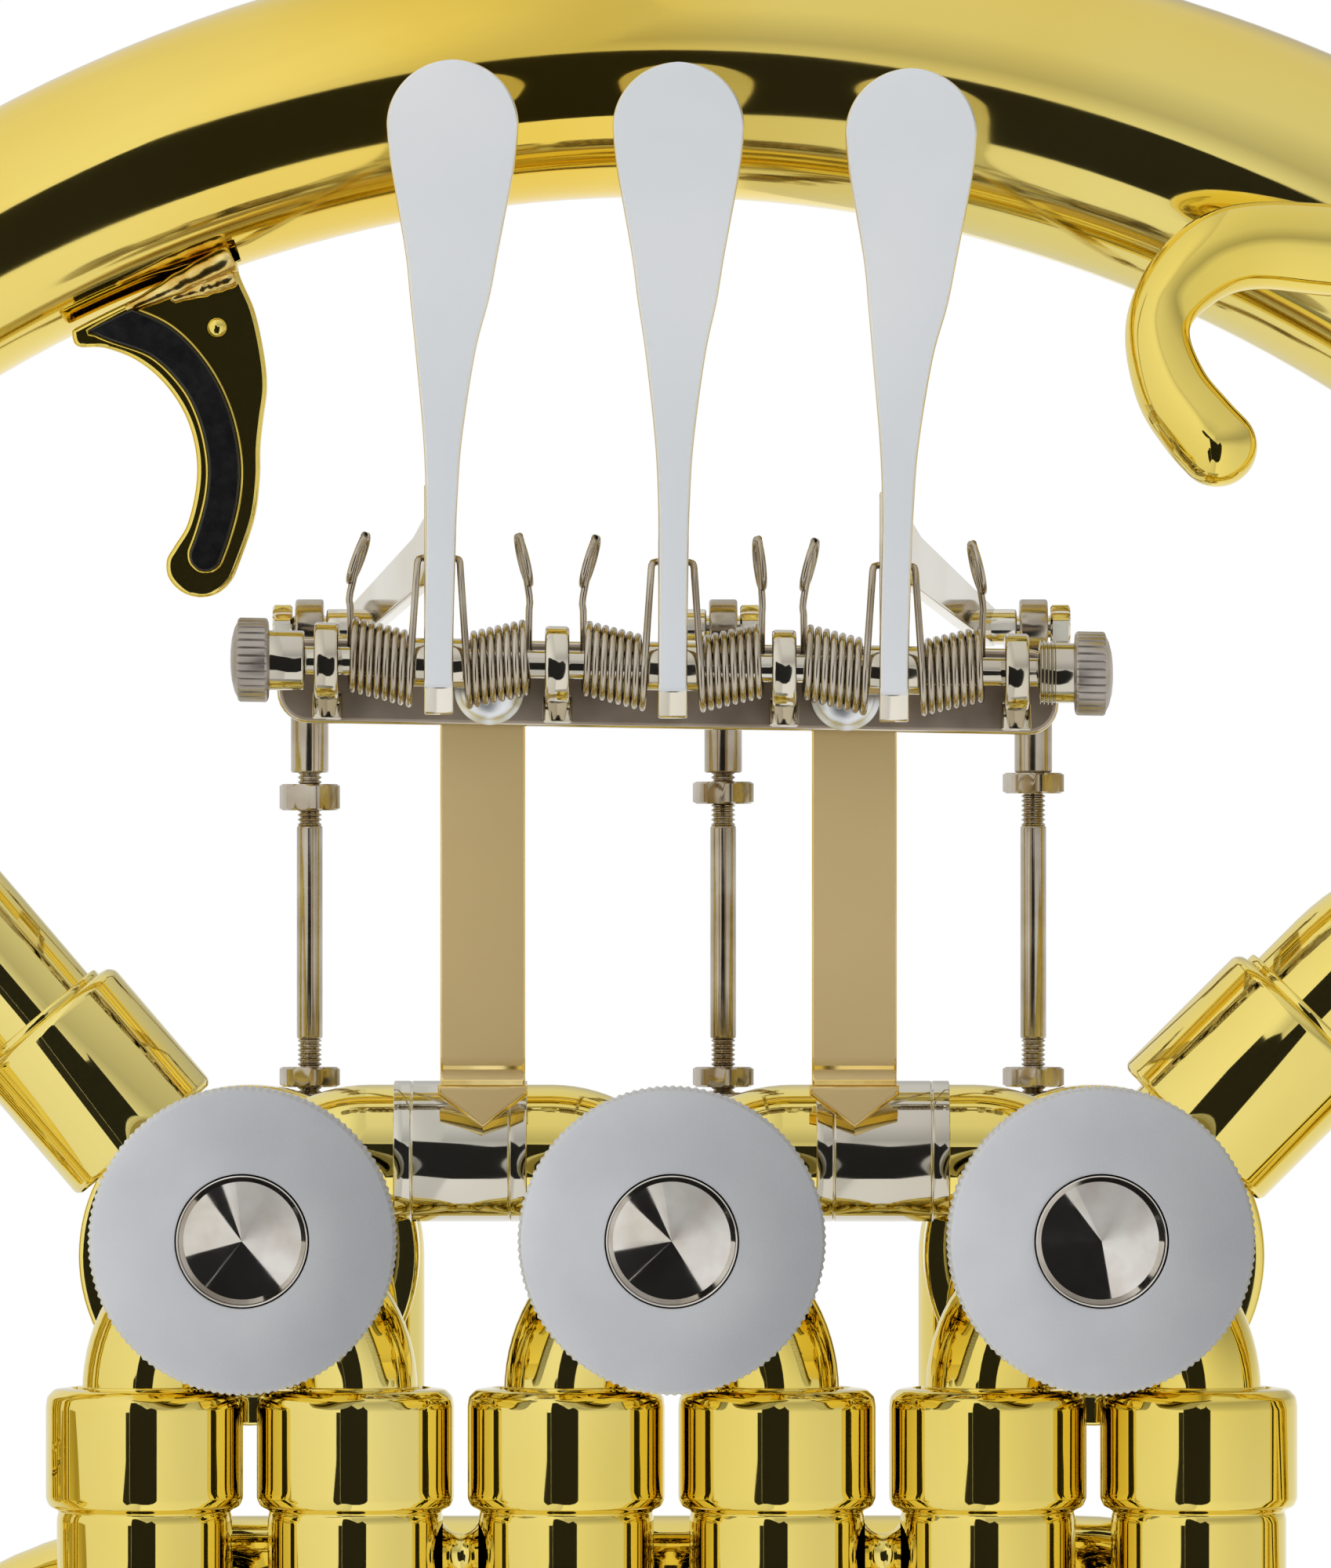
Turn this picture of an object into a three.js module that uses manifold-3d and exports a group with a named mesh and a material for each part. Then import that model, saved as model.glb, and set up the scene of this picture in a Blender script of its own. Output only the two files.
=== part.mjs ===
// French horn with three rotary valves, in millimetres.
// Pieces are drawn as the horn is seen from the valve side: x to the right, y away from the
// viewer and z up, with the middle valve's axis along y through the zero point. At the end the
// whole group is turned and set down, so that the horn stands on the rim of its bell.
import * as THREE from "three";
import { mergeVertices } from "three/addons/utils/BufferGeometryUtils.js";
import Module from "manifold-3d";

const wasm = await Module();
wasm.setup();

// Clearances and walls that every piece shares.
const gap = 0.3;
const wall = 0.7;
const overrun = 2;
const finest = 0.05;
const slideGap = 0.5;

// Valves: casings, rotors, bearings and the screwed front caps.
const valvePitch = 44;
const casingRadius = 14.2;
const casingWall = 1.8;
const casingBack = 20;
const capFace = -28;
const capDepth = 8;
const capTop = 1.8;
const capRadius = 15.56;
const capInsertRadius = 6.8;
const capInsertDip = 1.1;
const capInsertLip = 0.5;
const webSet = 2.9;
const webThickness = 4;
const bearingSeat = 3;
const bearingFlange = 1.5;
const bearingHubRadius = 4.5;
const bearingHubRise = 0.8;
const shaftRadius = 3;
const shaftTail = 5.9;
const rotorPassage = 5;
const rotorPassageMiddle = 6.2;

// Stop arms and bumpers behind the valves.
const stopPinRadius = 6.5;
const stopPinAngle = 45;
const stopArmThickness = 2.5;
const stopArmHub = 4.4;
const stopArmEnd = 2.2;
const stopTailReach = 7.6;
const stopTailEnd = 1.6;
const stopBallRadius = 1.3;
const stopStudRadius = 0.8;
const bumperThickness = 3;
const bumperInner = 7;
const bumperBand = 10.8;
const bumperOuter = 13;
const bumperReach = 80;
const bumperFace = 68;

// Tubes at the valves.
const portAngle = 45;
const knuckleRadius = 6.5;
const knuckleBore = 5.6;
const legKnuckleStart = 10;
const slideSeatLength = 5;
const linkHeight = 8.5;
const linkStart = 8;
const linkRadius = 6.95;
const linkTenon = 6.3;
const linkFerruleRadius = 7.35;
const linkFerruleLength = 13.9;
const linkTenonDepth = 5;
const inletAngle = 130.5;
const inletOffset = 2;
const inletFerruleRadius = 9.15;
const inletFerruleLength = 16.3;
const inletTubeRadius = 6.7;
const outletFerruleRadius = 10;
const outletFerruleLength = 17.1;
const outletTubeRadius = 8.05;
const ferruleSeat = 6;

// Valve slides: ferrules with outer tubes, and the pull-out slides.
const slideFerruleTop = -16.4;
const slideFerruleBottom = -28.9;
const slideFerruleRadius = 10.3;
const slideTubeRadius = 9.15;
const slideTubeBottom = -46;
const slideLegRadius = 7.75;
const slideLegTop = -24;
const slideCollar = 5;
const slideBowRadius = 6.5;
const slideLongBend = 20;
const crookCentre = -3.7;
const stayRadius = 1.6;
const stayHeight = -34;
const lowerStayHeight = -43;

// Big tube round the valves, its taper and its depth behind the valve plane.
const ringCentreX = -0.4;
const ringCentreZ = -27.3;
const ringRadius = 149.6;
const ringTuck = 11.6;
const ringDepth = 12;
const ringDrop = 33;
const ringStartAngle = 205;
const ringStartRadius = 8.5;
const ringEndRadius = 23;
const ringEvenShare = 0.91;

// Bell.
const bellLength = 400;
const bellRimRadius = 155;
const bellNeck = 16;
const bellWall = 0.8;
const bellRimWidth = 4;
const bellRimDepth = 2.2;
const bellFlareExponent = 0.65;
const bellFerruleWall = 0.8;

// First branch: from the last valve, once and a half round behind the slides, to the big tube.
const branchSideX = 100;
const branchTurn = 17;
const branchLowTurn = 54;
const branchCoilTurn = 40;
const branchTopZ = -39;
const branchCoilX = 50;
const branchCoilReach = 92;
const branchDepth = 22;
const branchBackDepth = 44;
const branchRadius = 8.05;

// Leadpipe, receiver, mouthpiece and tuning slide.
const leadLeaveAngle = 17;
const leadSettleAngle = 60;
const leadStraight = 165;
const leadStartRadius = 4.8;
const leadEndRadius = 6.5;
const leadRoom = 2.5;
const leadLastTurn = 50;
const receiverLength = 46;
const receiverRadius = 6.2;
const receiverMouthRadius = 7.2;
const receiverLap = 14;
const mouthpieceLength = 66;
const mouthpieceInsert = 22;
const mouthpieceShankRadius = 3.7;
const mouthpieceNeckRadius = 4.6;
const mouthpieceCupRadius = 12.6;
const mouthpieceCupLength = 21;
const mouthpieceCupDepth = 17;
const mouthpieceRimWidth = 4;
const mouthpieceThroat = 2.3;
const tuningPitch = 22;
const tuningFarX = -130;
const tuningTop = 20;
const tuningBottom = -28;
const tuningSleeveRadius = 8.1;
const tuningLegRadius = 6.9;
const tuningLegTop = 4;
const tuningCollar = 5;
const tuningBowRadius = 6.6;

// Lever carriage: plate, posts, axle, knurled end screws, straps.
const axleDepth = -16;
const axleHeight = 58.9;
const axleRadius = 1.5;
const axleHalfLength = 41;
const plateFront = -10.5;
const plateThickness = 1.5;
const plateLeft = -40.9;
const plateRight = 40.1;
const plateBottom = 52.5;
const plateTop = 63.4;
const plateCorner = 3.2;
const postRadius = 4;
const postWidth = 2.5;
const postFootHeight = 52.8;
const postFootReach = 2.4;
const postPlaces = [-35.6, -11.8, 11.6, 35.6];
const knobInner = 37.9;
const knobNeckRadius = 3.1;
const knobNeckLength = 3.7;
const knobRadius = 4.3;
const knobLength = 3.8;
const knobDome = 0.5;
const strapPlaces = [-19.2, 19.3];
const strapWidth = 8.8;
const strapThickness = 1.2;
const strapTop = 61;
const strapKnee = 16.5;
const strapTip = 11.2;
const screwPlaces = [-18.8, 17.9];
const screwHeight = 56;
const screwRadius = 3.4;
const screwRise = 1.2;

// Levers with their arms, the pushrods and the springs.
const shankPlaces = [-24, 0.1, 22.9];
const spoonShifts = [1.45, 0.8, 1.95];
const leverBottom = 54.5;
const leverLength = 67;
const spoonRadius = 6.8;
const leverFront = -20.2;
const leverThickness = 2;
const shankBack = -16.5;
const shankWidth = 3;
const shankRise = 23;
const hubRadius = 2.55;
const hubLength = 5.9;
const armWidth = 1.6;
const armTop = 75.5;
const armRoot = 71;
const armPlateReach = -9;
const armPlateHeight = 67.2;
const armBackHeight = 72.5;
const armEndRadius = 2.1;
const rodDepth = 28;
const rodJointHeight = 63.5;
const rodOffset = 5.5;
const rodLevelOffset = 38.5;
const jointBossRadius = 1.9;
const jointStudRadius = 1.2;
const jointNutRadius = 2.2;
const jointNutWidth = 2.1;
const eyeWidth = 3;
const eyeRadius = 2.8;
const rodSocketRadius = 2;
const rodThreadRadius = 1.1;
const rodRadius = 1.375;
const rodSocketLength = 13;
const rodLowerSocket = 6.4;
const nutRadius = 3.2;
const nutHeight = 2.5;
const lowerRingInner = 2.7;
const lowerRingOuter = 3.7;
const lowerRingWidth = 2.2;
const wireRadius = 0.3;
const coilRadius = 3.85;
const coilTurns = 5.5;
const coilPitch = 1.08;
const springLegOffset = 2.9;
const springBridgeHeight = 69.4;
const springBridgeDepth = -15.8;
const springBridgeHalf = 1.9;
const springTailRise = 8.3;
const springLegPull = 9.5;
const springBridgePull = 1.5;

// Hand hooks.
const thumbHookX = -62.7;
const thumbHookZ = 66.3;
const thumbHookWidth = 20.3;
const thumbHookHeight = 35.5;
const thumbHookDepth = 5;
const thumbHookThickness = 3;
const thumbInlayWidth = 3.1;
const thumbInlayThickness = 0.8;
const pinkyFootX = 82;
const pinkyFootRadius = 5;
const pinkyFootThickness = 1.2;
const pinkyFootSeat = 0.6;
const pinkyHeight = 105.8;
const pinkyBarDepth = -10;
const pinkyBarRadius = 3.25;
const pinkyEndRadius = 4.2;
const pinkyFootTurn = 4.6;
const pinkyTurnX = 61.5;
const pinkyTurn = 11.5;
const pinkyTurnAngle = 124;
const pinkyTail = 8.7;

// Stays between the big tube and the tubes beside it.
const ringStayRadius = 2;
const ringStayZ = -45;
const bellStayX = -40;

// Outlines written as shares: up the lever's length, half width in spoon radii, side shift.
const leverShares = [
  [0.02, 0.22, 0],
  [0.318, 0.243, 0.216],
  [0.415, 0.297, 0.3],
  [0.631, 0.603, 0.78],
  [0.703, 0.706, 0.92],
  [0.824, 0.919, 0.97],
  [0.891, 1, 1],
];
// The thumb hook's inner edge, tip and outer edge, in shares of its width and height.
const thumbEdgeShares = [
  [0, 0.745],
  [0.19, 0.731],
  [0.389, 0.667],
  [0.547, 0.567],
  [0.623, 0.47],
  [0.644, 0.373],
  [0.623, 0.292],
  [0.575, 0.211],
  [0.482, 0.106],
  [0.502, 0.049],
  [0.644, 0],
  [0.761, 0.023],
  [0.858, 0.106],
  [0.935, 0.236],
  [0.964, 0.373],
  [0.968, 0.454],
  [0.992, 0.535],
  [1, 0.65],
  [0.96, 0.78],
  [0.858, 0.949],
];
// The middle line of the black strip on the thumb hook, in the same shares.
const thumbInlayShares = [
  [0.247, 0.79],
  [0.502, 0.731],
  [0.7, 0.567],
  [0.781, 0.414],
  [0.757, 0.252],
  [0.632, 0.074],
];

// Counts.
const capSides = 20;
const valveSides = 16;
const ferruleSides = 12;
const sleeveSides = 10;
const rotorSides = 12;
const tubeSides = 8;
const ringSides = 9;
const bellSides = 18;
const bellRings = 9;
const rodSides = 8;
const nutSides = 6;
const boreSides = 6;
const eyeSides = 8;
const knobSides = 10;
const arcSteps = 4;
const cornerSteps = 2;
const inlaySteps = 8;
const bendStep = 30;
const crookStep = 36;
const ringStep = 15;
const inletStep = 24;
const wireSides = 5;
const coilSteps = 8;
const bridgeSteps = 4;

// Colours of the materials.
const goldLacquer = { color: 0xe0c04e, roughness: 0.12, metalness: 1 };
const nickelSilver = { color: 0xcbc6b4, roughness: 0.16, metalness: 1 };
const satinSilver = { color: 0xb3b6b9, roughness: 0.45, metalness: 1 };
const leverSilver = { color: 0xd0d3d6, roughness: 0.3, metalness: 1 };
const springSteel = { color: 0x96876e, roughness: 0.28, metalness: 1 };
const khakiBrass = { color: 0xb09c69, roughness: 0.3, metalness: 1 };
const blackInlay = { color: 0x141316, roughness: 0.25, metalness: 0 };
const corkRubber = { color: 0x2b2826, roughness: 0.8, metalness: 0 };

const right = new THREE.Vector3(1, 0, 0);
const deep = new THREE.Vector3(0, 1, 0);
const up = new THREE.Vector3(0, 0, 1);
const left = right.clone().negate();
const front = deep.clone().negate();
const down = up.clone().negate();
// Turning about front takes right to up, which is counterclockwise as the horn is seen.
const counterclockwise = front;

const horn = new THREE.Group();

const radians = THREE.MathUtils.degToRad;
const spot = (x, y, z) => new THREE.Vector3(x, y, z);

// A direction in the picture plane, by its angle from the right.
function aim(degrees) {
  return spot(Math.cos(radians(degrees)), 0, Math.sin(radians(degrees)));
}

// A share from 0 to 1 that starts and ends level.
function ease(share) {
  return share * share * (3 - 2 * share);
}

// Adds a named mesh to the horn.
function add(name, geometry, finish, parent = horn) {
  const mesh = new THREE.Mesh(geometry, new THREE.MeshStandardMaterial({ ...finish, name }));
  mesh.name = name;
  parent.add(mesh);
  return mesh;
}

// A closed geometry as a solid that can be cut and joined.
function solid(geometry) {
  const bare = geometry.clone();
  bare.deleteAttribute("normal");
  bare.deleteAttribute("uv");
  const merged = mergeVertices(bare, 1e-4);
  return new wasm.Manifold(
    new wasm.Mesh({
      numProp: 3,
      vertProperties: new Float32Array(merged.attributes.position.array),
      triVerts: new Uint32Array(merged.index.array),
    }),
  );
}

// A cut or joined solid as a geometry again.
function geometryOf(body) {
  const mesh = body.simplify(finest).getMesh();
  const geometry = new THREE.BufferGeometry();
  geometry.setAttribute("position", new THREE.BufferAttribute(new Float32Array(mesh.vertProperties), 3));
  geometry.setIndex(new THREE.BufferAttribute(new Uint32Array(mesh.triVerts), 1));
  geometry.computeVertexNormals();
  return geometry;
}

const join = (geometries) => geometries.map(solid).reduce((whole, piece) => whole.add(piece));

// A turned piece about y, from a profile of [radius, place along the axis] that is closed here.
function turned(profile, sides) {
  let area = 0;
  profile.forEach(([r, y], i) => {
    const [nextR, nextY] = profile[(i + 1) % profile.length];
    area += r * nextY - nextR * y;
  });
  const ordered = area > 0 ? profile : [...profile].reverse();
  const onAxis = ordered[0][0] === 0 && ordered[ordered.length - 1][0] === 0;
  const points = ordered.map(([r, y]) => new THREE.Vector2(r, y));
  if (!onAxis) points.push(points[0].clone());
  return new THREE.LatheGeometry(points, sides);
}

// A ring or disc about y: outer radius, inner radius, first and last place along the axis.
function ringPiece(outer, inner, first, last, sides) {
  const profile = inner > 0
    ? [[inner, first], [outer, first], [outer, last], [inner, last]]
    : [[0, first], [outer, first], [outer, last], [0, last]];
  return turned(profile, sides);
}

// Turns a geometry made about y so that it lies along a direction, from a start point.
function along(geometry, start, direction) {
  const turn = new THREE.Quaternion().setFromUnitVectors(deep, direction.clone().normalize());
  return geometry.applyQuaternion(turn).translate(start.x, start.y, start.z);
}

// A flat plate in the picture plane, with its front face at a depth.
function plateFacing(shape, frontFace, thickness, curveSegments) {
  const flat = new THREE.ExtrudeGeometry(shape, { depth: thickness, bevelEnabled: false, curveSegments });
  const basis = new THREE.Matrix4().makeBasis(right, up, front);
  return flat.applyMatrix4(basis).translate(0, frontFace + thickness, 0);
}

// A plate drawn from the side, in depth and height, with its left face at x.
function plateSideways(shape, leftFace, thickness, curveSegments) {
  const flat = new THREE.ExtrudeGeometry(shape, { depth: thickness, bevelEnabled: false, curveSegments });
  const basis = new THREE.Matrix4().makeBasis(deep, up, right);
  return flat.applyMatrix4(basis).translate(leftFace, 0, 0);
}

// Part of a circle about an axis through its centre.
class Bend extends THREE.Curve {
  constructor(centre, spoke, axis, angle) {
    super();
    Object.assign(this, { centre, spoke, axis, angle });
  }
  getPoint(share, target = new THREE.Vector3()) {
    return target.copy(this.spoke).applyAxisAngle(this.axis, this.angle * share).add(this.centre);
  }
}

// An arc in the picture plane whose radius and depth change with a level start and end.
class Sweep extends THREE.Curve {
  constructor(centre, radius, angle, turn, tuck, shift) {
    super();
    Object.assign(this, { centre, radius, angle, turn, tuck, shift });
  }
  getPoint(share, target = new THREE.Vector3()) {
    const radius = this.radius - this.tuck * ease(share);
    const spoke = aim(this.angle + this.turn * share).multiplyScalar(radius);
    return target.copy(this.centre).add(spoke).addScaledVector(deep, this.shift * ease(share));
  }
}

// A helix about a line along x, from its back, down and round its front.
class Coil extends THREE.Curve {
  constructor(start, radius, turns, advance) {
    super();
    Object.assign(this, { start, radius, turns, advance });
  }
  getPoint(share, target = new THREE.Vector3()) {
    const angle = 2 * Math.PI * this.turns * share;
    return target.set(
      this.start + this.advance * share,
      axleDepth + this.radius * Math.cos(angle),
      axleHeight - this.radius * Math.sin(angle),
    );
  }
}

// A path laid down piece by piece, which knows where it is and where it heads.
class Route {
  constructor(start, direction) {
    this.at = start.clone();
    this.direction = direction.clone().normalize();
    this.pieces = [];
    this.length = 0;
  }
  follow(curve, steps) {
    const length = curve.getLength();
    this.pieces.push({ curve, steps, start: this.length, length });
    this.length += length;
    this.at = curve.getPoint(1);
    this.direction = curve.getTangent(1);
    return this;
  }
  ahead(distance) {
    const end = this.at.clone().addScaledVector(this.direction, distance);
    return this.follow(new THREE.LineCurve3(this.at, end), 1);
  }
  turn(radius, degrees, axis, step = bendStep) {
    const side = axis.clone().cross(this.direction).normalize();
    const centre = this.at.clone().addScaledVector(side, radius * Math.sign(degrees));
    const bend = new Bend(centre, this.at.clone().sub(centre), axis, radians(degrees));
    return this.follow(bend, Math.ceil(Math.abs(degrees) / step));
  }
  // Degrees are positive counterclockwise; tuck draws the radius in, shift goes deeper.
  sweep(radius, degrees, shift = 0, tuck = 0, step = bendStep) {
    const heading = Math.atan2(this.direction.z, this.direction.x) / radians(1);
    const angle = degrees > 0 ? heading - 90 : heading + 90;
    const centre = this.at.clone().addScaledVector(aim(angle), -radius);
    const arc = new Sweep(centre, radius, angle, degrees, tuck, shift);
    return this.follow(arc, Math.ceil(Math.abs(degrees) / step));
  }
  glide(end, direction, leave, arrive, steps) {
    const out = this.at.clone().addScaledVector(this.direction, leave);
    const into = end.clone().addScaledVector(direction, -arrive);
    return this.follow(new THREE.CubicBezierCurve3(this.at, out, into, end), steps);
  }
  // The point and heading at a distance from the start.
  station(distance) {
    const last = this.pieces[this.pieces.length - 1];
    const piece = this.pieces.find((p) => distance < p.start + p.length) ?? last;
    const share = THREE.MathUtils.clamp((distance - piece.start) / piece.length, 0, 1);
    return { at: piece.curve.getPointAt(share), direction: piece.curve.getTangentAt(share) };
  }
  marks() {
    const marks = [0];
    for (const { steps, start, length } of this.pieces)
      for (let i = 1; i <= steps; i++) marks.push(start + (length * i) / steps);
    return marks;
  }
}

// A profile is a number or a list of [distance, radius]; equal distances make a step.
function radiusAt(profile, distance) {
  if (typeof profile === "number") return profile;
  const next = profile.findIndex(([d]) => d >= distance);
  if (next < 0) return profile[profile.length - 1][1];
  if (next === 0) return profile[0][1];
  const [d0, r0] = profile[next - 1];
  const [d1, r1] = profile[next];
  return r0 + ((r1 - r0) * (distance - d0)) / (d1 - d0);
}

// Rings of points round a route, each with its sides and a frame carried along without twist.
function ringsAlong(route, profile, sides) {
  const near = 1e-3;
  const breaks = typeof profile === "number" ? [] : profile.map(([d, r]) => ({ d, r }));
  const marks = route.marks()
    .filter((mark) => !breaks.some(({ d }) => Math.abs(d - mark) < near))
    .map((d) => ({ d, r: radiusAt(profile, d) }));
  const stops = [...breaks, ...marks].sort((a, b) => a.d - b.d);
  const first = route.station(0).direction;
  const seed = Math.abs(first.x) > 0.9 ? up : right;
  let side = seed.clone().addScaledVector(first, -seed.dot(first)).normalize();
  let before = first;
  return stops.map(({ d, r }) => {
    const { at, direction } = route.station(d);
    side = side.clone().applyQuaternion(new THREE.Quaternion().setFromUnitVectors(before, direction));
    before = direction;
    const across = direction.clone().cross(side);
    const points = [];
    for (let i = 0; i < sides; i++) {
      const angle = (2 * Math.PI * i) / sides;
      const spoke = side.clone().multiplyScalar(Math.cos(angle)).addScaledVector(across, Math.sin(angle));
      points.push(at.clone().addScaledVector(spoke, r));
    }
    return { at, points };
  });
}

// A tube or bar along a route. With a bore profile it is open at both ends, else it is solid.
function tube(route, outerProfile, boreProfile, sides) {
  const vertices = [];
  const faces = [];
  const lay = (rings, outwards) => {
    const base = vertices.length;
    rings.forEach(({ points }) => vertices.push(...points));
    for (let k = 0; k + 1 < rings.length; k++)
      for (let i = 0; i < sides; i++) {
        const a = base + k * sides + i;
        const b = base + k * sides + ((i + 1) % sides);
        const quad = [a, b, b + sides, a, b + sides, a + sides];
        faces.push(...(outwards ? quad : quad.reverse()));
      }
    return { first: base, last: base + (rings.length - 1) * sides };
  };
  const outerRings = ringsAlong(route, outerProfile, sides);
  const outer = lay(outerRings, true);
  if (boreProfile === null) {
    const start = vertices.push(outerRings[0].at) - 1;
    const end = vertices.push(outerRings[outerRings.length - 1].at) - 1;
    for (let i = 0; i < sides; i++) {
      const j = (i + 1) % sides;
      faces.push(start, outer.first + j, outer.first + i);
      faces.push(end, outer.last + i, outer.last + j);
    }
  } else {
    const bore = lay(ringsAlong(route, boreProfile, sides), false);
    for (let i = 0; i < sides; i++) {
      const j = (i + 1) % sides;
      faces.push(outer.first + i, bore.first + i, bore.first + j);
      faces.push(outer.first + i, bore.first + j, outer.first + j);
      faces.push(outer.last + i, outer.last + j, bore.last + j);
      faces.push(outer.last + i, bore.last + j, bore.last + i);
    }
  }
  const geometry = new THREE.BufferGeometry().setFromPoints(vertices);
  geometry.setIndex(faces);
  geometry.computeVertexNormals();
  return geometry;
}

// A profile made thinner everywhere by a wall.
const inside = (profile, thickness) => profile.map(([d, r]) => [d, r - thickness]);

// Valve places, and depths that follow from the caps and casings.
const valvePlaces = [-valvePitch, 0, valvePitch];
const legOffset = valvePitch / 4;
const casingFront = capFace + capTop + gap;
const casingBore = casingRadius - casingWall;
const rotorRadius = casingBore - gap;
const shaftHole = shaftRadius + gap;
const webFront = casingFront + webSet;
const webBack = webFront + webThickness;
const rotorFront = webBack + gap;
const bearingFront = casingBack - bearingSeat;
const rotorBack = bearingFront - gap;
const flangeFront = casingBack + gap;
const flangeBack = flangeFront + bearingFlange;
const bearingHubEnd = flangeBack + bearingHubRise;
const stopArmFront = bearingHubEnd + gap;
const stopArmBack = stopArmFront + stopArmThickness;

// The big tube's radius and depth at an angle, and its nearest depth at a spot in the picture.
const ringEndAngle = -90;
function ringTubeRadius(angle) {
  const share = (ringStartAngle - angle) / (ringStartAngle - ringEndAngle);
  const grown = ringEvenShare * share + (1 - ringEvenShare) * share * share;
  return ringStartRadius + (ringEndRadius - ringStartRadius) * grown;
}
function ringAngle(x, z) {
  return Math.atan2(z - ringCentreZ, x - ringCentreX) / radians(1);
}
function ringFront(x, z, room) {
  const radius = ringTubeRadius(ringAngle(x, z));
  const reach = Math.hypot(x - ringCentreX, z - ringCentreZ) - ringRadius;
  const nearest = Math.max(0, Math.abs(reach) - room);
  return ringDepth - Math.sqrt(radius * radius - nearest * nearest);
}
const ringCentre = spot(ringCentreX, 0, ringCentreZ);

// Routes of the knuckles, each from inside its casing to its ferrule.
function legKnuckle(side) {
  const start = aim(side < 0 ? 180 + portAngle : -portAngle);
  const radius = (legOffset - legKnuckleStart * Math.cos(radians(portAngle))) / (1 - Math.cos(radians(portAngle)));
  const route = new Route(start.clone().multiplyScalar(legKnuckleStart), start);
  route.turn(radius, -side * (90 - portAngle), counterclockwise);
  return route.ahead(slideSeatLength);
}
const linkFace = (valvePitch - linkFerruleLength) / 2;
function linkKnuckle(side) {
  const start = aim(side > 0 ? portAngle : 180 - portAngle);
  const radius = (linkHeight - linkStart * Math.sin(radians(portAngle))) / (1 - Math.cos(radians(portAngle)));
  const route = new Route(start.clone().multiplyScalar(linkStart), start);
  route.turn(radius, -side * portAngle, counterclockwise);
  return route.ahead(linkFace + linkTenonDepth - Math.abs(route.at.x));
}
const inletAim = aim(inletAngle);
const inletStart = aim(inletAngle + 90).multiplyScalar(inletOffset);
const outletAim = aim(portAngle);
function straightKnuckle(start, direction) {
  const from = start.clone().addScaledVector(direction, linkStart);
  return new Route(from, direction).ahead(casingRadius + gap + ferruleSeat - linkStart);
}

function casing(index) {
  const chamber = turned([
    [0, casingFront - overrun],
    [casingBore, casingFront - overrun],
    [casingBore, webFront],
    [shaftHole, webFront],
    [shaftHole, webBack],
    [casingBore, webBack],
    [casingBore, casingBack + overrun],
    [0, casingBack + overrun],
  ], valveSides);
  const knuckles = [legKnuckle(-1), legKnuckle(1)].map((route) => ({ route, outer: knuckleRadius }));
  const stepped = (route) => {
    const step = route.length - linkTenonDepth - gap;
    return [[0, linkRadius], [step, linkRadius], [step, linkTenon], [route.length, linkTenon]];
  };
  for (const side of [-1, 1]) {
    const neighbour = index + side;
    if (neighbour < 0 || neighbour >= valvePlaces.length) continue;
    const route = linkKnuckle(side);
    knuckles.push({ route, outer: stepped(route) });
  }
  if (index === 0) knuckles.push({ route: straightKnuckle(inletStart, inletAim), outer: inletTubeRadius });
  if (index === valvePlaces.length - 1)
    knuckles.push({ route: straightKnuckle(spot(0, 0, 0), outletAim), outer: knuckleRadius + wall });
  let outside = solid(ringPiece(casingRadius, 0, casingFront, casingBack, valveSides));
  let cuts = solid(chamber);
  for (const { route, outer } of knuckles) {
    outside = outside.add(solid(tube(route, outer, null, tubeSides)));
    route.ahead(overrun);
    cuts = cuts.add(solid(tube(route, knuckleBore, null, boreSides)));
  }
  return geometryOf(outside.subtract(cuts));
}

// A rotor with two bent passages: one joins the upper ports, one the lower ports.
function rotor() {
  const shaftFront = webFront - gap;
  const body = solid(turned([
    [0, shaftFront],
    [shaftRadius, shaftFront],
    [shaftRadius, rotorFront],
    [rotorRadius, rotorFront],
    [rotorRadius, rotorBack],
    [shaftRadius, rotorBack],
    [shaftRadius, casingBack + shaftTail],
    [0, casingBack + shaftTail],
  ], rotorSides));
  const rim = rotorRadius * Math.sin(radians(portAngle));
  const rise = rim - rotorPassageMiddle;
  const radius = (rim * rim + rise * rise) / (2 * rise);
  const half = Math.asin(rim / radius) / radians(1);
  let cut = body;
  for (const side of [1, -1]) {
    const start = spot(-rim, 0, side * rim).addScaledVector(aim(-side * half), -overrun);
    const route = new Route(start, aim(-side * half)).ahead(overrun);
    route.turn(radius, 2 * side * half, counterclockwise).ahead(overrun);
    cut = cut.subtract(solid(tube(route, rotorPassage, null, boreSides)));
  }
  return geometryOf(cut);
}

// The front cap: a cup over the casing, with a cone sunk in the middle of its face.
function cap() {
  const skirtBore = casingRadius + gap;
  const under = capFace + capTop;
  return turned([
    [0, capFace + capInsertDip],
    [capInsertRadius - capInsertLip, capFace],
    [capRadius, capFace],
    [capRadius, capFace + capDepth],
    [skirtBore, capFace + capDepth],
    [skirtBore, under],
    [0, under],
  ], capSides);
}

// The rear bearing: a disc in the casing with a flange and a hub.
function bearing() {
  return turned([
    [shaftHole, bearingFront],
    [rotorRadius, bearingFront],
    [rotorRadius, flangeFront],
    [casingRadius, flangeFront],
    [casingRadius, flangeBack],
    [bearingHubRadius, flangeBack],
    [bearingHubRadius, bearingHubEnd],
    [shaftHole, bearingHubEnd],
  ], sleeveSides);
}

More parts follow.
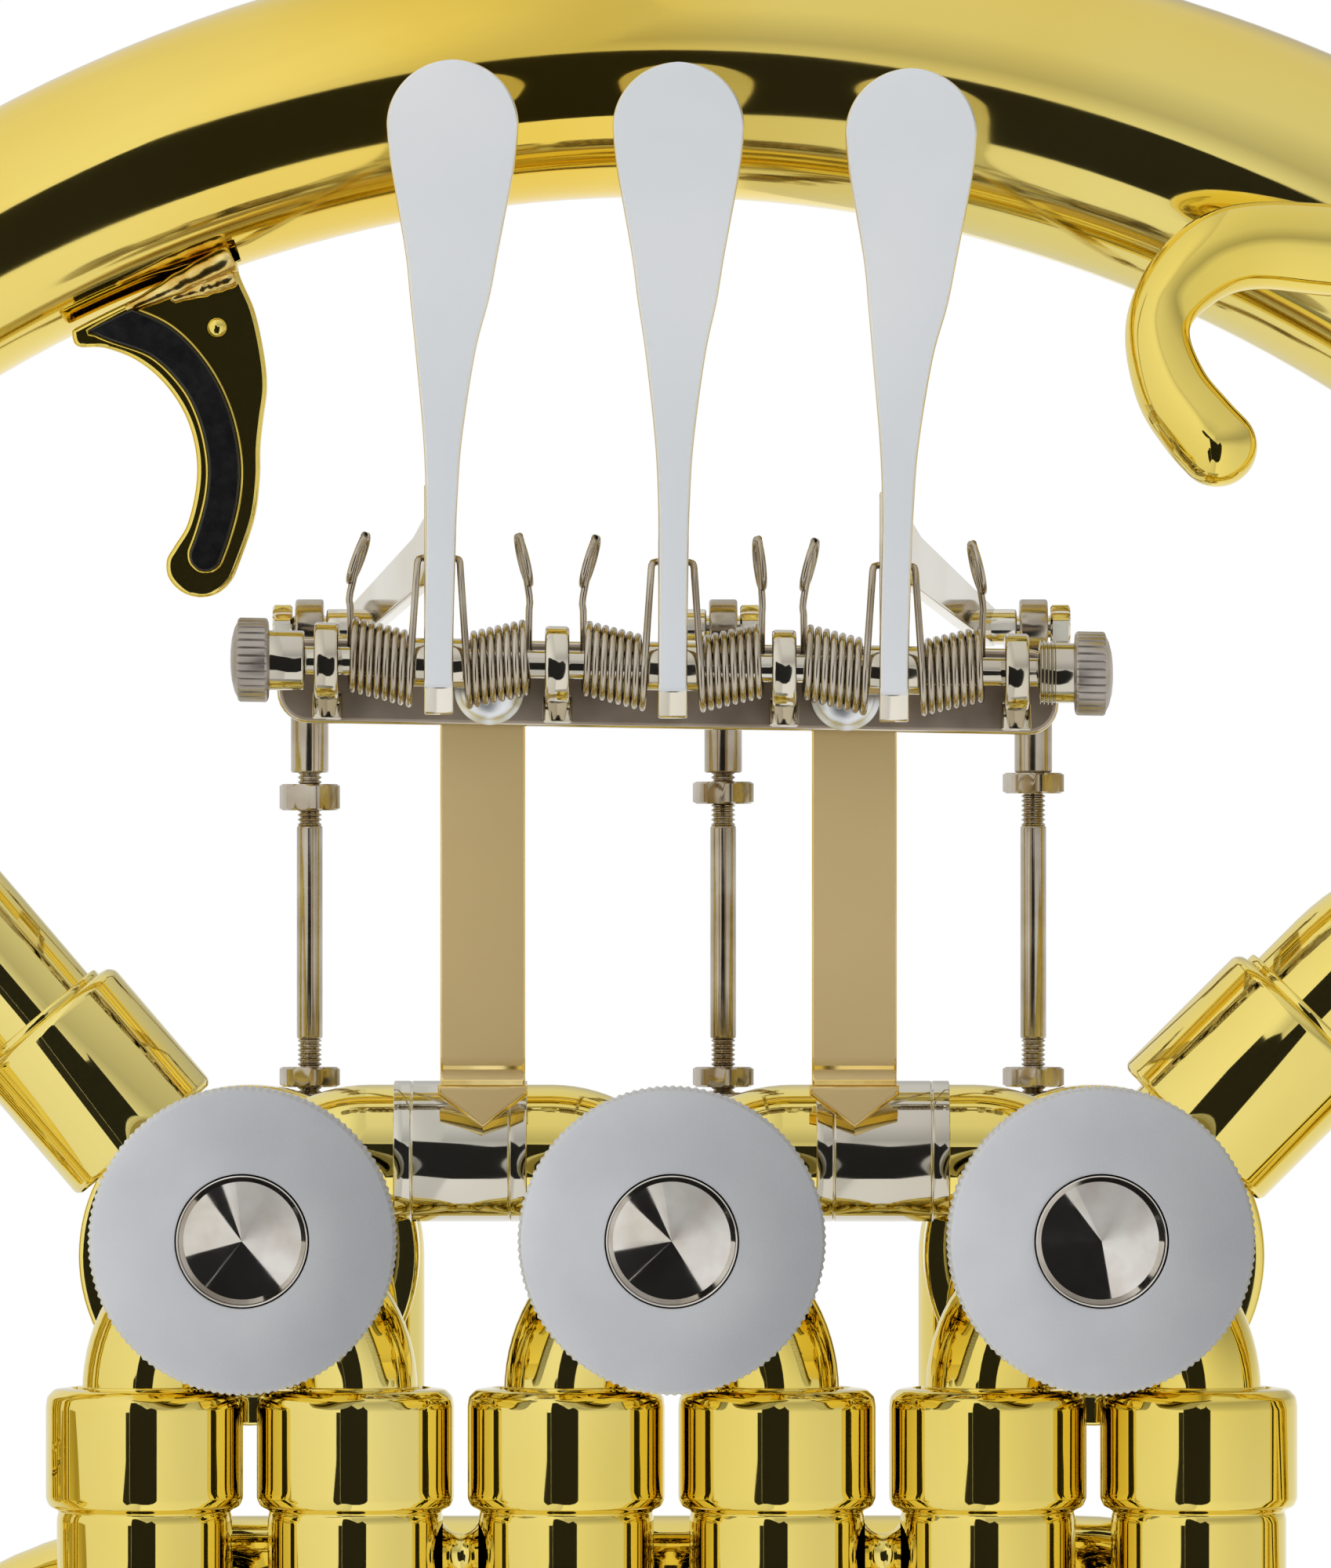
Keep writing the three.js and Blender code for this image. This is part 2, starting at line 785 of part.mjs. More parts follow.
// The stop arm on the rotor's shaft, with the ball stud for the pushrod and a tail.
function stopArm(mirror) {
  const pinAngle = mirror ? 180 - stopPinAngle : stopPinAngle;
  const shape = new THREE.Shape();
  const pinLean = Math.acos((stopArmHub - stopArmEnd) / stopPinRadius);
  const tailLean = Math.acos((stopArmHub - stopTailEnd) / stopTailReach);
  shape.absarc(stopPinRadius, 0, stopArmEnd, -pinLean, pinLean, false);
  shape.absarc(0, 0, stopArmHub, pinLean, Math.PI - tailLean, false);
  shape.absarc(-stopTailReach, 0, stopTailEnd, Math.PI - tailLean, Math.PI + tailLean, false);
  shape.absarc(0, 0, stopArmHub, Math.PI + tailLean, 2 * Math.PI - pinLean, false);
  const flat = plateFacing(shape, stopArmFront, stopArmThickness, arcSteps);
  const plate = flat.rotateY(-radians(pinAngle));
  const pin = aim(pinAngle).multiplyScalar(stopPinRadius);
  const studStart = stopArmBack - stopArmThickness / 2;
  const stud = ringPiece(stopStudRadius, 0, studStart, rodDepth, nutSides).translate(pin.x, 0, pin.z);
  const ball = new THREE.SphereGeometry(stopBallRadius, nutSides, arcSteps).translate(pin.x, rodDepth, pin.z);
  const body = join([plate, stud, ball]);
  const hole = ringPiece(shaftHole, 0, stopArmFront - overrun, stopArmBack + overrun, rodSides);
  return geometryOf(body.subtract(solid(hole)));
}

// The bumper: a rubber band with two blocks that the stop arm's tail meets.
function bumper(mirror) {
  const shape = new THREE.Shape();
  const reach = radians(bumperReach);
  const face = radians(bumperFace);
  shape.absarc(0, 0, bumperOuter, Math.PI - reach, Math.PI + reach, false);
  shape.absarc(0, 0, bumperInner, Math.PI + reach, Math.PI + face, true);
  shape.absarc(0, 0, bumperBand, Math.PI + face, Math.PI - face, true);
  shape.absarc(0, 0, bumperInner, Math.PI - face, Math.PI - reach, true);
  const swing = mirror ? -stopPinAngle - 45 + 180 : 0;
  const plate = plateFacing(shape, flangeBack + gap, bumperThickness, arcSteps);
  return mirror ? plate.rotateY(radians(180)) : plate.rotateY(-radians(swing));
}

function valves() {
  valvePlaces.forEach((x, index) => {
    const valve = new THREE.Group();
    valve.position.set(x, 0, 0);
    horn.add(valve);
    const name = (piece) => `valve_${index + 1}_${piece}`;
    const mirror = index === valvePlaces.length - 1;
    add(name("casing"), casing(index), goldLacquer, valve);
    add(name("rotor"), rotor(), nickelSilver, valve);
    add(name("cap"), cap(), satinSilver, valve);
    add(name("bearing"), bearing(), nickelSilver, valve);
    add(name("stop_arm"), stopArm(mirror), nickelSilver, valve);
    add(name("bumper"), bumper(mirror), corkRubber, valve);
  });
}

// Ferrules between the valves, and on the slanting tubes at either end of the row.
function valveFerrules() {
  [-1, 1].forEach((side, index) => {
    const ring = ringPiece(linkFerruleRadius, linkTenon + gap, 0, linkFerruleLength, ferruleSides);
    const start = spot((side * valvePitch) / 2 - linkFerruleLength / 2, 0, linkHeight);
    add(`link_ferrule_${index + 1}`, along(ring, start, right), nickelSilver);
  });
  const seatEnd = ferruleSeat + gap;
  const inlet = ringPiece(inletFerruleRadius, inletTubeRadius + gap, 0, inletFerruleLength, ferruleSides);
  const inletFrom = spot(-valvePitch, 0, 0).add(inletStart).addScaledVector(inletAim, casingRadius + gap);
  add("inlet_ferrule", along(inlet, inletFrom, inletAim), nickelSilver);
  const outlet = turned([
    [knuckleRadius + wall + gap, 0],
    [outletFerruleRadius, 0],
    [outletFerruleRadius, outletFerruleLength],
    [outletTubeRadius + gap, outletFerruleLength],
    [outletTubeRadius + gap, seatEnd],
    [knuckleRadius + wall + gap, seatEnd],
  ], valveSides);
  const outletFrom = spot(valvePitch, 0, 0).addScaledVector(outletAim, casingRadius + gap);
  add("outlet_ferrule", along(outlet, outletFrom, outletAim), nickelSilver);
}

// The two outer tubes of a valve slide, with their ferrules, joined by a low stay.
function slideSleeves(index) {
  const profile = [
    [knuckleRadius + slideGap, slideFerruleTop],
    [slideFerruleRadius, slideFerruleTop],
    [slideFerruleRadius, slideFerruleBottom],
    [slideTubeRadius, slideFerruleBottom],
    [slideTubeRadius, slideTubeBottom],
    [slideLegRadius + slideGap, slideTubeBottom],
    [slideLegRadius + slideGap, slideFerruleTop - ferruleSeat],
    [knuckleRadius + slideGap, slideFerruleTop - ferruleSeat],
  ];
  const pieces = [-1, 1].map((side) => {
    const tubePiece = turned(profile, sleeveSides);
    return along(tubePiece, spot(side * legOffset, 0, 0), up);
  });
  const inset = slideLegRadius + slideGap + gap;
  const stay = (height, from, to) => {
    const bar = ringPiece(stayRadius, 0, from, to, rodSides);
    return along(bar, spot(0, 0, height), right);
  };
  pieces.push(stay(lowerStayHeight, inset - legOffset, legOffset - inset));
  if (index === 1) {
    const reach = valvePitch - legOffset - slideTubeRadius - gap;
    pieces.push(stay(stayHeight, -reach, -legOffset - inset));
    pieces.push(stay(stayHeight, legOffset + inset, reach));
  }
  return geometryOf(join(pieces));
}

// A pull-out slide: two inner legs joined by a bow, or by two bows and a crook behind the valve.
function valveSlide(long) {
  const legBottom = slideTubeBottom - gap - slideCollar;
  const route = new Route(spot(-legOffset, 0, slideLegTop), down);
  route.ahead(slideLegTop - legBottom);
  if (long) {
    route.turn(slideLongBend, 180, right, crookStep).ahead(crookCentre - legBottom);
    route.turn(legOffset, 180, deep, crookStep).ahead(crookCentre - legBottom);
    route.turn(slideLongBend, 180, left, crookStep);
  } else {
    route.turn(legOffset, 180, counterclockwise, crookStep);
  }
  route.ahead(slideLegTop - legBottom);
  const sleeveEnd = slideLegTop - slideTubeBottom + gap;
  const collarEnd = sleeveEnd + slideCollar;
  const total = route.length;
  const outer = [
    [0, slideLegRadius],
    [sleeveEnd, slideLegRadius],
    [sleeveEnd, slideTubeRadius],
    [collarEnd - overrun, slideTubeRadius],
    [collarEnd, slideBowRadius],
    [total - collarEnd, slideBowRadius],
    [total - collarEnd + overrun, slideTubeRadius],
    [total - sleeveEnd, slideTubeRadius],
    [total - sleeveEnd, slideLegRadius],
    [total, slideLegRadius],
  ];
  return tube(route, outer, slideBowRadius - wall, tubeSides);
}

function valveSlides() {
  valvePlaces.forEach((x, index) => {
    const group = new THREE.Group();
    group.position.set(x, 0, 0);
    horn.add(group);
    add(`slide_${index + 1}_sleeves`, slideSleeves(index), goldLacquer, group);
    add(`slide_${index + 1}`, valveSlide(index !== 1), goldLacquer, group);
  });
}

// The big tube: up the left side, over the top, down the right and under to the bell.
const ringStart = ringCentre.clone()
  .addScaledVector(aim(ringStartAngle), ringRadius)
  .addScaledVector(deep, ringDepth);
function bellBranch() {
  const route = new Route(ringStart, aim(ringStartAngle - 90));
  route.sweep(ringRadius, -ringStartAngle, 0, 0, ringStep);
  route.sweep(ringRadius, ringEndAngle, ringDrop, ringTuck, ringStep);
  const marks = route.marks();
  const turns = marks.map((mark, i) => ringStartAngle - ((ringStartAngle - ringEndAngle) * i) / (marks.length - 1));
  const profile = marks.map((mark, i) => [mark, ringTubeRadius(turns[i])]);
  add("bell_branch", tube(route, profile, inside(profile, wall), ringSides), goldLacquer);
}

// The bell's flare: the radius falls as a power of the distance from the rim.
const bellX = ringCentreX - gap;
const bellDepth = ringDepth + ringDrop;
const bellZ = ringCentreZ - (ringRadius - ringTuck);
const flareLength = bellLength - bellNeck - bellRimDepth;
const flareRatio = Math.pow(ringEndRadius / bellRimRadius, 1 / bellFlareExponent);
const flareStart = (flareLength * flareRatio) / (1 - flareRatio);
const flareAt = (fromRim) => bellRimRadius * Math.pow(flareStart / (fromRim + flareStart), bellFlareExponent);

function bell() {
  const outer = [[ringEndRadius, 0]];
  const inner = [[ringEndRadius - bellWall, 0], [ringEndRadius - bellWall, bellNeck]];
  for (let i = 0; i <= bellRings; i++) {
    const share = i / bellRings;
    const fromRim = flareLength * Math.pow(1 - share, 2.6);
    const slope = (-bellFlareExponent * flareAt(fromRim)) / (fromRim + flareStart);
    const tilt = Math.hypot(1, slope);
    const place = bellLength - bellRimDepth - fromRim;
    outer.push([flareAt(fromRim), place]);
    const innerRadius = flareAt(fromRim) - bellWall / tilt;
    if (i > 0 && innerRadius < bellRimRadius - bellRimWidth)
      inner.push([innerRadius, place - (bellWall * slope) / tilt]);
  }
  outer.push([bellRimRadius, bellLength]);
  outer.push([bellRimRadius - bellRimWidth, bellLength]);
  const shape = turned([...outer, ...inner.reverse()], bellSides);
  add("bell", along(shape, spot(bellX, bellDepth, bellZ), left), goldLacquer);
  const ferrule = ringPiece(
    ringEndRadius + gap + bellFerruleWall, ringEndRadius + gap, gap, bellNeck - gap, bellSides,
  );
  add("bell_ferrule", along(ferrule, spot(bellX, bellDepth, bellZ), left), nickelSilver);
}

// The first branch, from the outlet ferrule to the start of the big tube.
const branchLowZ = branchTopZ - 2 * branchCoilTurn;
function firstBranch() {
  const reach = casingRadius + gap + ferruleSeat + 2 * gap;
  const start = spot(valvePitch, 0, 0).addScaledVector(outletAim, reach);
  const route = new Route(start, outletAim);
  const turnX = branchSideX - branchTurn * (1 + Math.sin(radians(portAngle)));
  route.ahead((turnX - start.x) / Math.cos(radians(portAngle)));
  route.sweep(branchTurn, -(90 + portAngle));
  const sideEnd = spot(branchSideX, branchDepth, branchLowZ + branchLowTurn);
  const sidePull = (route.at.z - sideEnd.z) / 3;
  route.glide(sideEnd, down, sidePull, sidePull, 4);
  route.sweep(branchLowTurn, -90);
  route.ahead(route.at.x + branchCoilX);
  route.sweep(branchCoilTurn, -180, 0, 0, crookStep);
  route.ahead(branchCoilReach);
  route.sweep(branchCoilTurn, -180, branchBackDepth - branchDepth, 0, crookStep);
  const lift = ringStart.z - branchLowZ;
  const lastTurn = ringStartAngle - 90 - 180;
  const lastRadius = lift / (1 - Math.cos(radians(lastTurn)));
  const endX = ringStart.x - gap * Math.cos(radians(ringStartAngle - 90));
  route.ahead(route.at.x - endX + lastRadius * Math.sin(radians(lastTurn)));
  route.sweep(lastRadius, lastTurn, ringDepth - branchBackDepth);
  const profile = [[0, branchRadius], [route.length, ringStartRadius]];
  add("first_branch", tube(route, profile, inside(profile, wall), tubeSides), goldLacquer);
}

// The leadpipe runs straight to the big tube, follows it behind, and drops to the tuning slide.
function leadDepth(angle) {
  return ringDepth + ringTubeRadius(angle) + leadEndRadius + leadRoom;
}
const leadDropShare = (tuningFarX - ringCentreX + leadLastTurn) / (ringRadius - leadLastTurn);
const leadDropAngle = Math.acos(leadDropShare) / radians(1);
const tuningDepth = leadDepth(leadDropAngle);
const tuningNearX = tuningFarX + tuningPitch;
const leadAim = aim(leadLeaveAngle + 90);
const leadStart = ringCentre.clone()
  .addScaledVector(aim(leadLeaveAngle), ringRadius)
  .addScaledVector(leadAim, -leadStraight)
  .addScaledVector(deep, leadDepth(leadLeaveAngle));
function leadpipe() {
  const settled = leadDepth(leadSettleAngle);
  const route = new Route(leadStart, leadAim).ahead(leadStraight);
  route.sweep(ringRadius, leadSettleAngle - leadLeaveAngle, settled - leadDepth(leadLeaveAngle), 0, ringStep);
  route.sweep(ringRadius, leadDropAngle - leadSettleAngle, tuningDepth - settled, 0, ringStep);
  route.sweep(leadLastTurn, 180 - leadDropAngle);
  route.ahead(route.at.z - tuningTop + ferruleSeat);
  const profile = [[0, leadStartRadius], [leadStraight, leadEndRadius], [route.length, leadEndRadius]];
  add("leadpipe", tube(route, profile, inside(profile, wall), tubeSides), goldLacquer);
}

// The receiver on the leadpipe's end, and the mouthpiece in the receiver.
function mouthEnd() {
  const outwards = leadAim.clone().negate();
  const seat = leadStart.clone().addScaledVector(leadAim, receiverLap);
  const receiver = turned([
    [leadStartRadius + 2 * gap, 0],
    [receiverRadius, 0],
    [receiverMouthRadius, receiverLength],
    [mouthpieceShankRadius + gap, receiverLength],
    [mouthpieceShankRadius + gap, receiverLap + gap],
    [leadStartRadius + 2 * gap, receiverLap + gap],
  ], ferruleSides);
  add("receiver", along(receiver, seat, outwards), nickelSilver);
  const shankStart = receiverLength - mouthpieceInsert;
  const end = shankStart + mouthpieceLength;
  const cupStart = end - mouthpieceCupLength;
  const cupMouth = mouthpieceCupRadius - mouthpieceRimWidth;
  const cup = turned([
    [mouthpieceThroat, shankStart],
    [mouthpieceShankRadius, shankStart],
    [mouthpieceShankRadius, receiverLength + gap],
    [mouthpieceNeckRadius, receiverLength + gap],
    [mouthpieceNeckRadius, cupStart],
    [mouthpieceCupRadius - mouthpieceRimWidth / 2, end - mouthpieceCupLength / 2],
    [mouthpieceCupRadius, end - mouthpieceRimWidth / 2],
    [mouthpieceCupRadius - mouthpieceRimWidth / 2, end],
    [cupMouth, end - mouthpieceRimWidth / 2],
    [mouthpieceThroat, end - mouthpieceCupDepth],
  ], ferruleSides);
  add("mouthpiece", along(cup, seat, outwards), nickelSilver);
}

// The tube from the tuning slide to the first valve.
function inletTube() {
  const seated = casingRadius + gap + ferruleSeat + 2 * gap;
  const start = spot(-valvePitch, 0, 0).add(inletStart).addScaledVector(inletAim, seated);
  const route = new Route(start, inletAim);
  const turned90 = 1 + Math.sin(radians(inletAngle));
  const turnX = tuningNearX + inletTurnRadius * turned90;
  route.ahead((turnX - start.x) / Math.cos(radians(inletAngle)));
  route.sweep(inletTurnRadius, 270 - inletAngle, tuningDepth, 0, inletStep);
  route.ahead(route.at.z - tuningTop + ferruleSeat);
  add("valve_inlet_tube", tube(route, inletTubeRadius, inletTubeRadius - wall, tubeSides), goldLacquer);
}
const inletTurnRadius = 18.75;

// The tuning slide's outer tubes with two stays, and the slide itself.
function tuningSlide() {
  const profile = [
    [inletTubeRadius + slideGap, tuningTop],
    [tuningSleeveRadius, tuningTop],
    [tuningSleeveRadius, tuningBottom],
    [tuningLegRadius + slideGap, tuningBottom],
    [tuningLegRadius + slideGap, tuningTop - ferruleSeat - gap],
    [inletTubeRadius + slideGap, tuningTop - ferruleSeat - gap],
  ];
  const places = [tuningFarX, tuningNearX];
  const pieces = places.map((x) => along(turned(profile, sleeveSides), spot(x, tuningDepth, 0), up));
  const inset = tuningLegRadius + slideGap + gap / 2;
  for (const z of [tuningTop - ferruleSeat, tuningBottom + ferruleSeat]) {
    const stay = ringPiece(stayRadius, 0, inset, tuningPitch - inset, rodSides);
    pieces.push(along(stay, spot(tuningFarX, tuningDepth, z), right));
  }
  add("tuning_sleeves", geometryOf(join(pieces)), goldLacquer);
  const legBottom = tuningBottom - gap - tuningCollar;
  const route = new Route(spot(tuningFarX, tuningDepth, tuningLegTop), down);
  route.ahead(tuningLegTop - legBottom);
  route.turn(tuningPitch / 2, 180, counterclockwise, crookStep);
  route.ahead(tuningLegTop - legBottom);
  const sleeveEnd = tuningLegTop - tuningBottom + gap;
  const collarEnd = sleeveEnd + tuningCollar;
  const total = route.length;
  const outer = [
    [0, tuningLegRadius],
    [sleeveEnd, tuningLegRadius],
    [sleeveEnd, tuningSleeveRadius],
    [collarEnd - overrun, tuningSleeveRadius],
    [collarEnd, tuningBowRadius],
    [total - collarEnd, tuningBowRadius],
    [total - collarEnd + overrun, tuningSleeveRadius],
    [total - sleeveEnd, tuningSleeveRadius],
    [total - sleeveEnd, tuningLegRadius],
    [total, tuningLegRadius],
  ];
  add("tuning_slide", tube(route, outer, tuningBowRadius - wall, tubeSides), goldLacquer);
}

// The carriage: a plate with four posts that hold the levers' axle.
function carriage() {
  const shape = new THREE.Shape();
  const corners = [
    [plateRight - plateCorner, plateBottom + plateCorner, -90],
    [plateRight - plateCorner, plateTop - plateCorner, 0],
    [plateLeft + plateCorner, plateTop - plateCorner, 90],
    [plateLeft + plateCorner, plateBottom + plateCorner, 180],
  ];
  for (const [x, z, angle] of corners)
    shape.absarc(x, z, plateCorner, radians(angle), radians(angle + 90), false);
  const side = new THREE.Shape();
  const behind = plateFront + plateThickness / 2;
  side.moveTo(behind, axleHeight + postRadius);
  side.absarc(axleDepth, axleHeight, postRadius, Math.PI / 2, (3 * Math.PI) / 2, false);
  side.lineTo(axleDepth + postFootReach, postFootHeight);
  side.lineTo(behind, postFootHeight);
  const posts = postPlaces.map((x) => plateSideways(side, x - postWidth / 2, postWidth, arcSteps));
  const body = join([plateFacing(shape, plateFront, plateThickness, cornerSteps), ...posts]);
  const first = postPlaces[0] - postWidth;
  const last = postPlaces[postPlaces.length - 1] + postWidth;
  const bore = along(ringPiece(axleRadius + gap, 0, first, last, boreSides), spot(0, axleDepth, axleHeight), right);
  add("carriage", geometryOf(body.subtract(solid(bore))), leverSilver);
}

// The axle, with a knurled screw on each end.
function axle() {
  const centre = spot(0, axleDepth, axleHeight);
  const bar = ringPiece(axleRadius, 0, -axleHalfLength, axleHalfLength, rodSides);
  add("axle", along(bar, centre, right), nickelSilver);
  const knob = () => turned([
    [axleRadius + gap, knobInner],
    [knobNeckRadius, knobInner],
    [knobNeckRadius, knobInner + knobNeckLength],
    [knobRadius, knobInner + knobNeckLength],
    [knobRadius, knobInner + knobNeckLength + knobLength - knobDome],
    [0, knobInner + knobNeckLength + knobLength],
    [0, axleHalfLength + gap],
    [axleRadius + gap, axleHalfLength + gap],
  ], knobSides);
  add("knurled_screw_left", along(knob(), centre, left), nickelSilver);
  add("knurled_screw_right", along(knob(), centre, right), nickelSilver);
}

// The two straps from the carriage to the ferrules between the valves, and the plate's screws.
function straps() {
  const behind = plateFront + plateThickness + gap;
  const footFront = -linkFerruleRadius - gap - strapThickness;
  strapPlaces.forEach((x, index) => {
    const side = new THREE.Shape();
    side.moveTo(behind, strapTop);
    side.lineTo(behind, strapKnee);
    side.lineTo(footFront, strapKnee - strapThickness);
    side.lineTo(footFront, linkHeight);
    side.lineTo(footFront + strapThickness, linkHeight);
    side.lineTo(footFront + strapThickness, strapKnee);
    side.lineTo(behind + strapThickness, strapKnee + strapThickness);
    side.lineTo(behind + strapThickness, strapTop);
    const bar = plateSideways(side, x - strapWidth / 2, strapWidth, 1);
    const arrow = new THREE.Shape();
    arrow.moveTo(x - strapWidth / 2 - overrun, strapTop + overrun);
    arrow.lineTo(x - strapWidth / 2 - overrun, strapKnee - strapThickness);
    arrow.lineTo(x - strapWidth / 2, strapKnee - strapThickness);
    arrow.lineTo(x, strapTip);
    arrow.lineTo(x + strapWidth / 2, strapKnee - strapThickness);
    arrow.lineTo(x + strapWidth / 2 + overrun, strapKnee - strapThickness);
    arrow.lineTo(x + strapWidth / 2 + overrun, strapTop + overrun);
    const keep = plateFacing(arrow, footFront - overrun, strapThickness + 3 * overrun, 1);
    add(`strap_${index + 1}`, geometryOf(solid(bar).intersect(solid(keep))), khakiBrass);
  });
  screwPlaces.forEach((x, index) => {
    const face = plateFront - gap;
    const head = turned([
      [0, face],
      [screwRadius, face],
      [screwRadius * Math.cos(radians(portAngle)), face - (2 * screwRise) / 3],
      [0, face - screwRise],
    ], ferruleSides);
    add(`carriage_screw_${index + 1}`, head.translate(x, 0, screwHeight), leverSilver);
  });
}

// Where the pushrods hang: beside the first two valves on the right, the last on the left.
const rodPlaces = [-rodLevelOffset, rodOffset, rodLevelOffset];

// A lever: spoon and shank in one plate, a hub on the axle, and the arm to its pushrod.
function lever(index) {
  const x = shankPlaces[index];
  const shift = spoonShifts[index];
  const rodX = rodPlaces[index];
  const outwards = Math.sign(rodX - x);
  const middle = leverShares.map(([rise, half, aside]) => ({
    z: leverBottom + rise * leverLength,
    half: half * spoonRadius,
    x: x + aside * shift,
  }));
  const outline = new THREE.Shape();
  const headZ = leverBottom + leverLength - spoonRadius;
  outline.moveTo(middle[0].x - middle[0].half, leverBottom);
  outline.lineTo(middle[0].x + middle[0].half, leverBottom);
  middle.forEach((p) => outline.lineTo(p.x + p.half, p.z));
  outline.absarc(x + shift, headZ, spoonRadius, 0, Math.PI, false);
  [...middle].reverse().forEach((p) => outline.lineTo(p.x - p.half, p.z));
  const blade = plateFacing(outline, leverFront, leverThickness, arcSteps);
  const shankShape = new THREE.Shape();
  shankShape.moveTo(x - shankWidth / 2, leverBottom);
  shankShape.lineTo(x + shankWidth / 2, leverBottom);
  shankShape.lineTo(x + shankWidth / 2, leverBottom + shankRise);
  shankShape.lineTo(x - shankWidth / 2, leverBottom + shankRise);
  const shank = plateFacing(shankShape, leverFront + leverThickness / 2, shankBack - leverFront - leverThickness / 2, 1);
  const hubPiece = ringPiece(hubRadius, 0, -hubLength / 2, hubLength / 2, sleeveSides);
  const hub = along(hubPiece, spot(x, axleDepth, axleHeight), right);
  // The arm is drawn from the side, then leant sideways towards its rod.
  const armStart = shankBack - (shankBack - leverFront) / 2;
  const side = new THREE.Shape();
  side.moveTo(armStart, armTop);
  side.lineTo(armStart, armRoot);
  side.lineTo(shankBack + armWidth, armRoot);
  side.lineTo(armPlateReach, armPlateHeight);
  side.lineTo(rodDepth - armEndRadius, rodJointHeight - armEndRadius);
  side.absarc(rodDepth, rodJointHeight, armEndRadius, -Math.PI / 2, Math.PI / 2, false);
  side.lineTo(armPlateReach + armEndRadius, armBackHeight);
  const bossLength = (eyeWidth + armWidth) / 2;
  const tipX = rodX - outwards * (eyeWidth / 2 + gap + bossLength + armWidth / 2);
  const lean = (tipX - x) / (rodDepth - shankBack);
  const shear = new THREE.Matrix4().makeShear(0, 0, lean, 0, 0, 0);
  const arm = plateSideways(side, x - armWidth / 2, armWidth, 4)
    .translate(0, -shankBack, 0).applyMatrix4(shear).translate(0, shankBack, 0);
  const stud = (radius, from, to) => {
    const bar = ringPiece(radius, 0, 0, Math.abs(to - from), nutSides);
    return along(bar, spot(from, rodDepth, rodJointHeight), outwards > 0 ? right : left);
  };
  const eyeNear = rodX - outwards * (eyeWidth / 2 + gap);
  const eyeFar = rodX + outwards * (eyeWidth / 2 + gap);
  const boss = stud(jointBossRadius, tipX, eyeNear);
  const pin = stud(jointStudRadius, tipX, eyeFar + outwards * jointNutWidth);
  const nut = stud(jointNutRadius, eyeFar, eyeFar + outwards * jointNutWidth);
  const body = join([blade, shank, hub, arm, boss, pin, nut]);
  const bore = ringPiece(axleRadius + gap, 0, -hubLength, hubLength, boreSides);
  return geometryOf(body.subtract(solid(along(bore, spot(x, axleDepth, axleHeight), right))));
}

// A pushrod: an eye on the lever's stud, socket, nut and thread, rod, nut, and a ring at the stop arm.
function pushrod(index) {
  const x = rodPlaces[index];
  const pinHeight = stopPinRadius * Math.sin(radians(stopPinAngle));
  const top = rodJointHeight - jointNutRadius - gap;
  const bottom = pinHeight + (lowerRingInner + lowerRingOuter) / 2;
  const route = new Route(spot(x, rodDepth, top), down).ahead(top - bottom);
  const upperNut = rodSocketLength + rodThreadRadius;
  const lowerSocket = route.length - rodLowerSocket;
  const lowerNut = lowerSocket - rodThreadRadius;
  const profile = [
    [0, rodSocketRadius],
    [rodSocketLength, rodSocketRadius],
    [rodSocketLength, rodThreadRadius],
    [upperNut, rodThreadRadius],
    [upperNut, nutRadius],
    [upperNut + nutHeight, nutRadius],
    [upperNut + nutHeight, rodRadius],
    [lowerNut - nutHeight, rodRadius],
    [lowerNut - nutHeight, nutRadius],
    [lowerNut, nutRadius],
    [lowerNut, rodThreadRadius],
    [lowerSocket, rodThreadRadius],
    [lowerSocket, rodSocketRadius],
    [route.length, rodSocketRadius],
  ];
  const eye = ringPiece(eyeRadius, jointStudRadius + gap, -eyeWidth / 2, eyeWidth / 2, eyeSides);
  const low = ringPiece(lowerRingOuter, lowerRingInner, -lowerRingWidth / 2, lowerRingWidth / 2, eyeSides);
  return geometryOf(join([
    tube(route, profile, null, nutSides),
    along(eye, spot(x, rodDepth, rodJointHeight), right),
    low.translate(x, rodDepth, pinHeight),
  ]));
}

// A double torsion spring: a coil on each side of the lever, joined by a bridge behind it.
function springRoute(index) {
  const x = shankPlaces[index];
  const advance = coilTurns * coilPitch;
  const back = axleDepth + coilRadius;
  const start = x - springLegOffset - advance;
  const route = new Route(spot(start, back, axleHeight + springTailRise), down).ahead(springTailRise);
  const steps = Math.round(coilTurns * coilSteps);
  route.follow(new Coil(start, coilRadius, coilTurns, advance), steps);
  const bridge = spot(x - springBridgeHalf, springBridgeDepth, springBridgeHeight);
  route.direction = up.clone();
  route.glide(bridge, right, springLegPull, springBridgePull, bridgeSteps);
  route.ahead(2 * springBridgeHalf);
  const farLeg = spot(x + springLegOffset, axleDepth - coilRadius, axleHeight);
  route.glide(farLeg, down, springBridgePull, springLegPull, bridgeSteps);
  route.follow(new ReversedCoil(x + springLegOffset, coilRadius, coilTurns, advance), steps);
  route.direction = up.clone();
  return route.ahead(springTailRise);
}

// The far coil: it starts at the front, heads down and ends at the back, heading up.
class ReversedCoil extends THREE.Curve {
  constructor(start, radius, turns, advance) {
    super();
    Object.assign(this, { start, radius, turns, advance });
  }
  getPoint(share, target = new THREE.Vector3()) {
    const angle = 2 * Math.PI * this.turns * share;
    return target.set(
      this.start + this.advance * share,
      axleDepth - this.radius * Math.cos(angle),
      axleHeight - this.radius * Math.sin(angle),
    );
  }
}

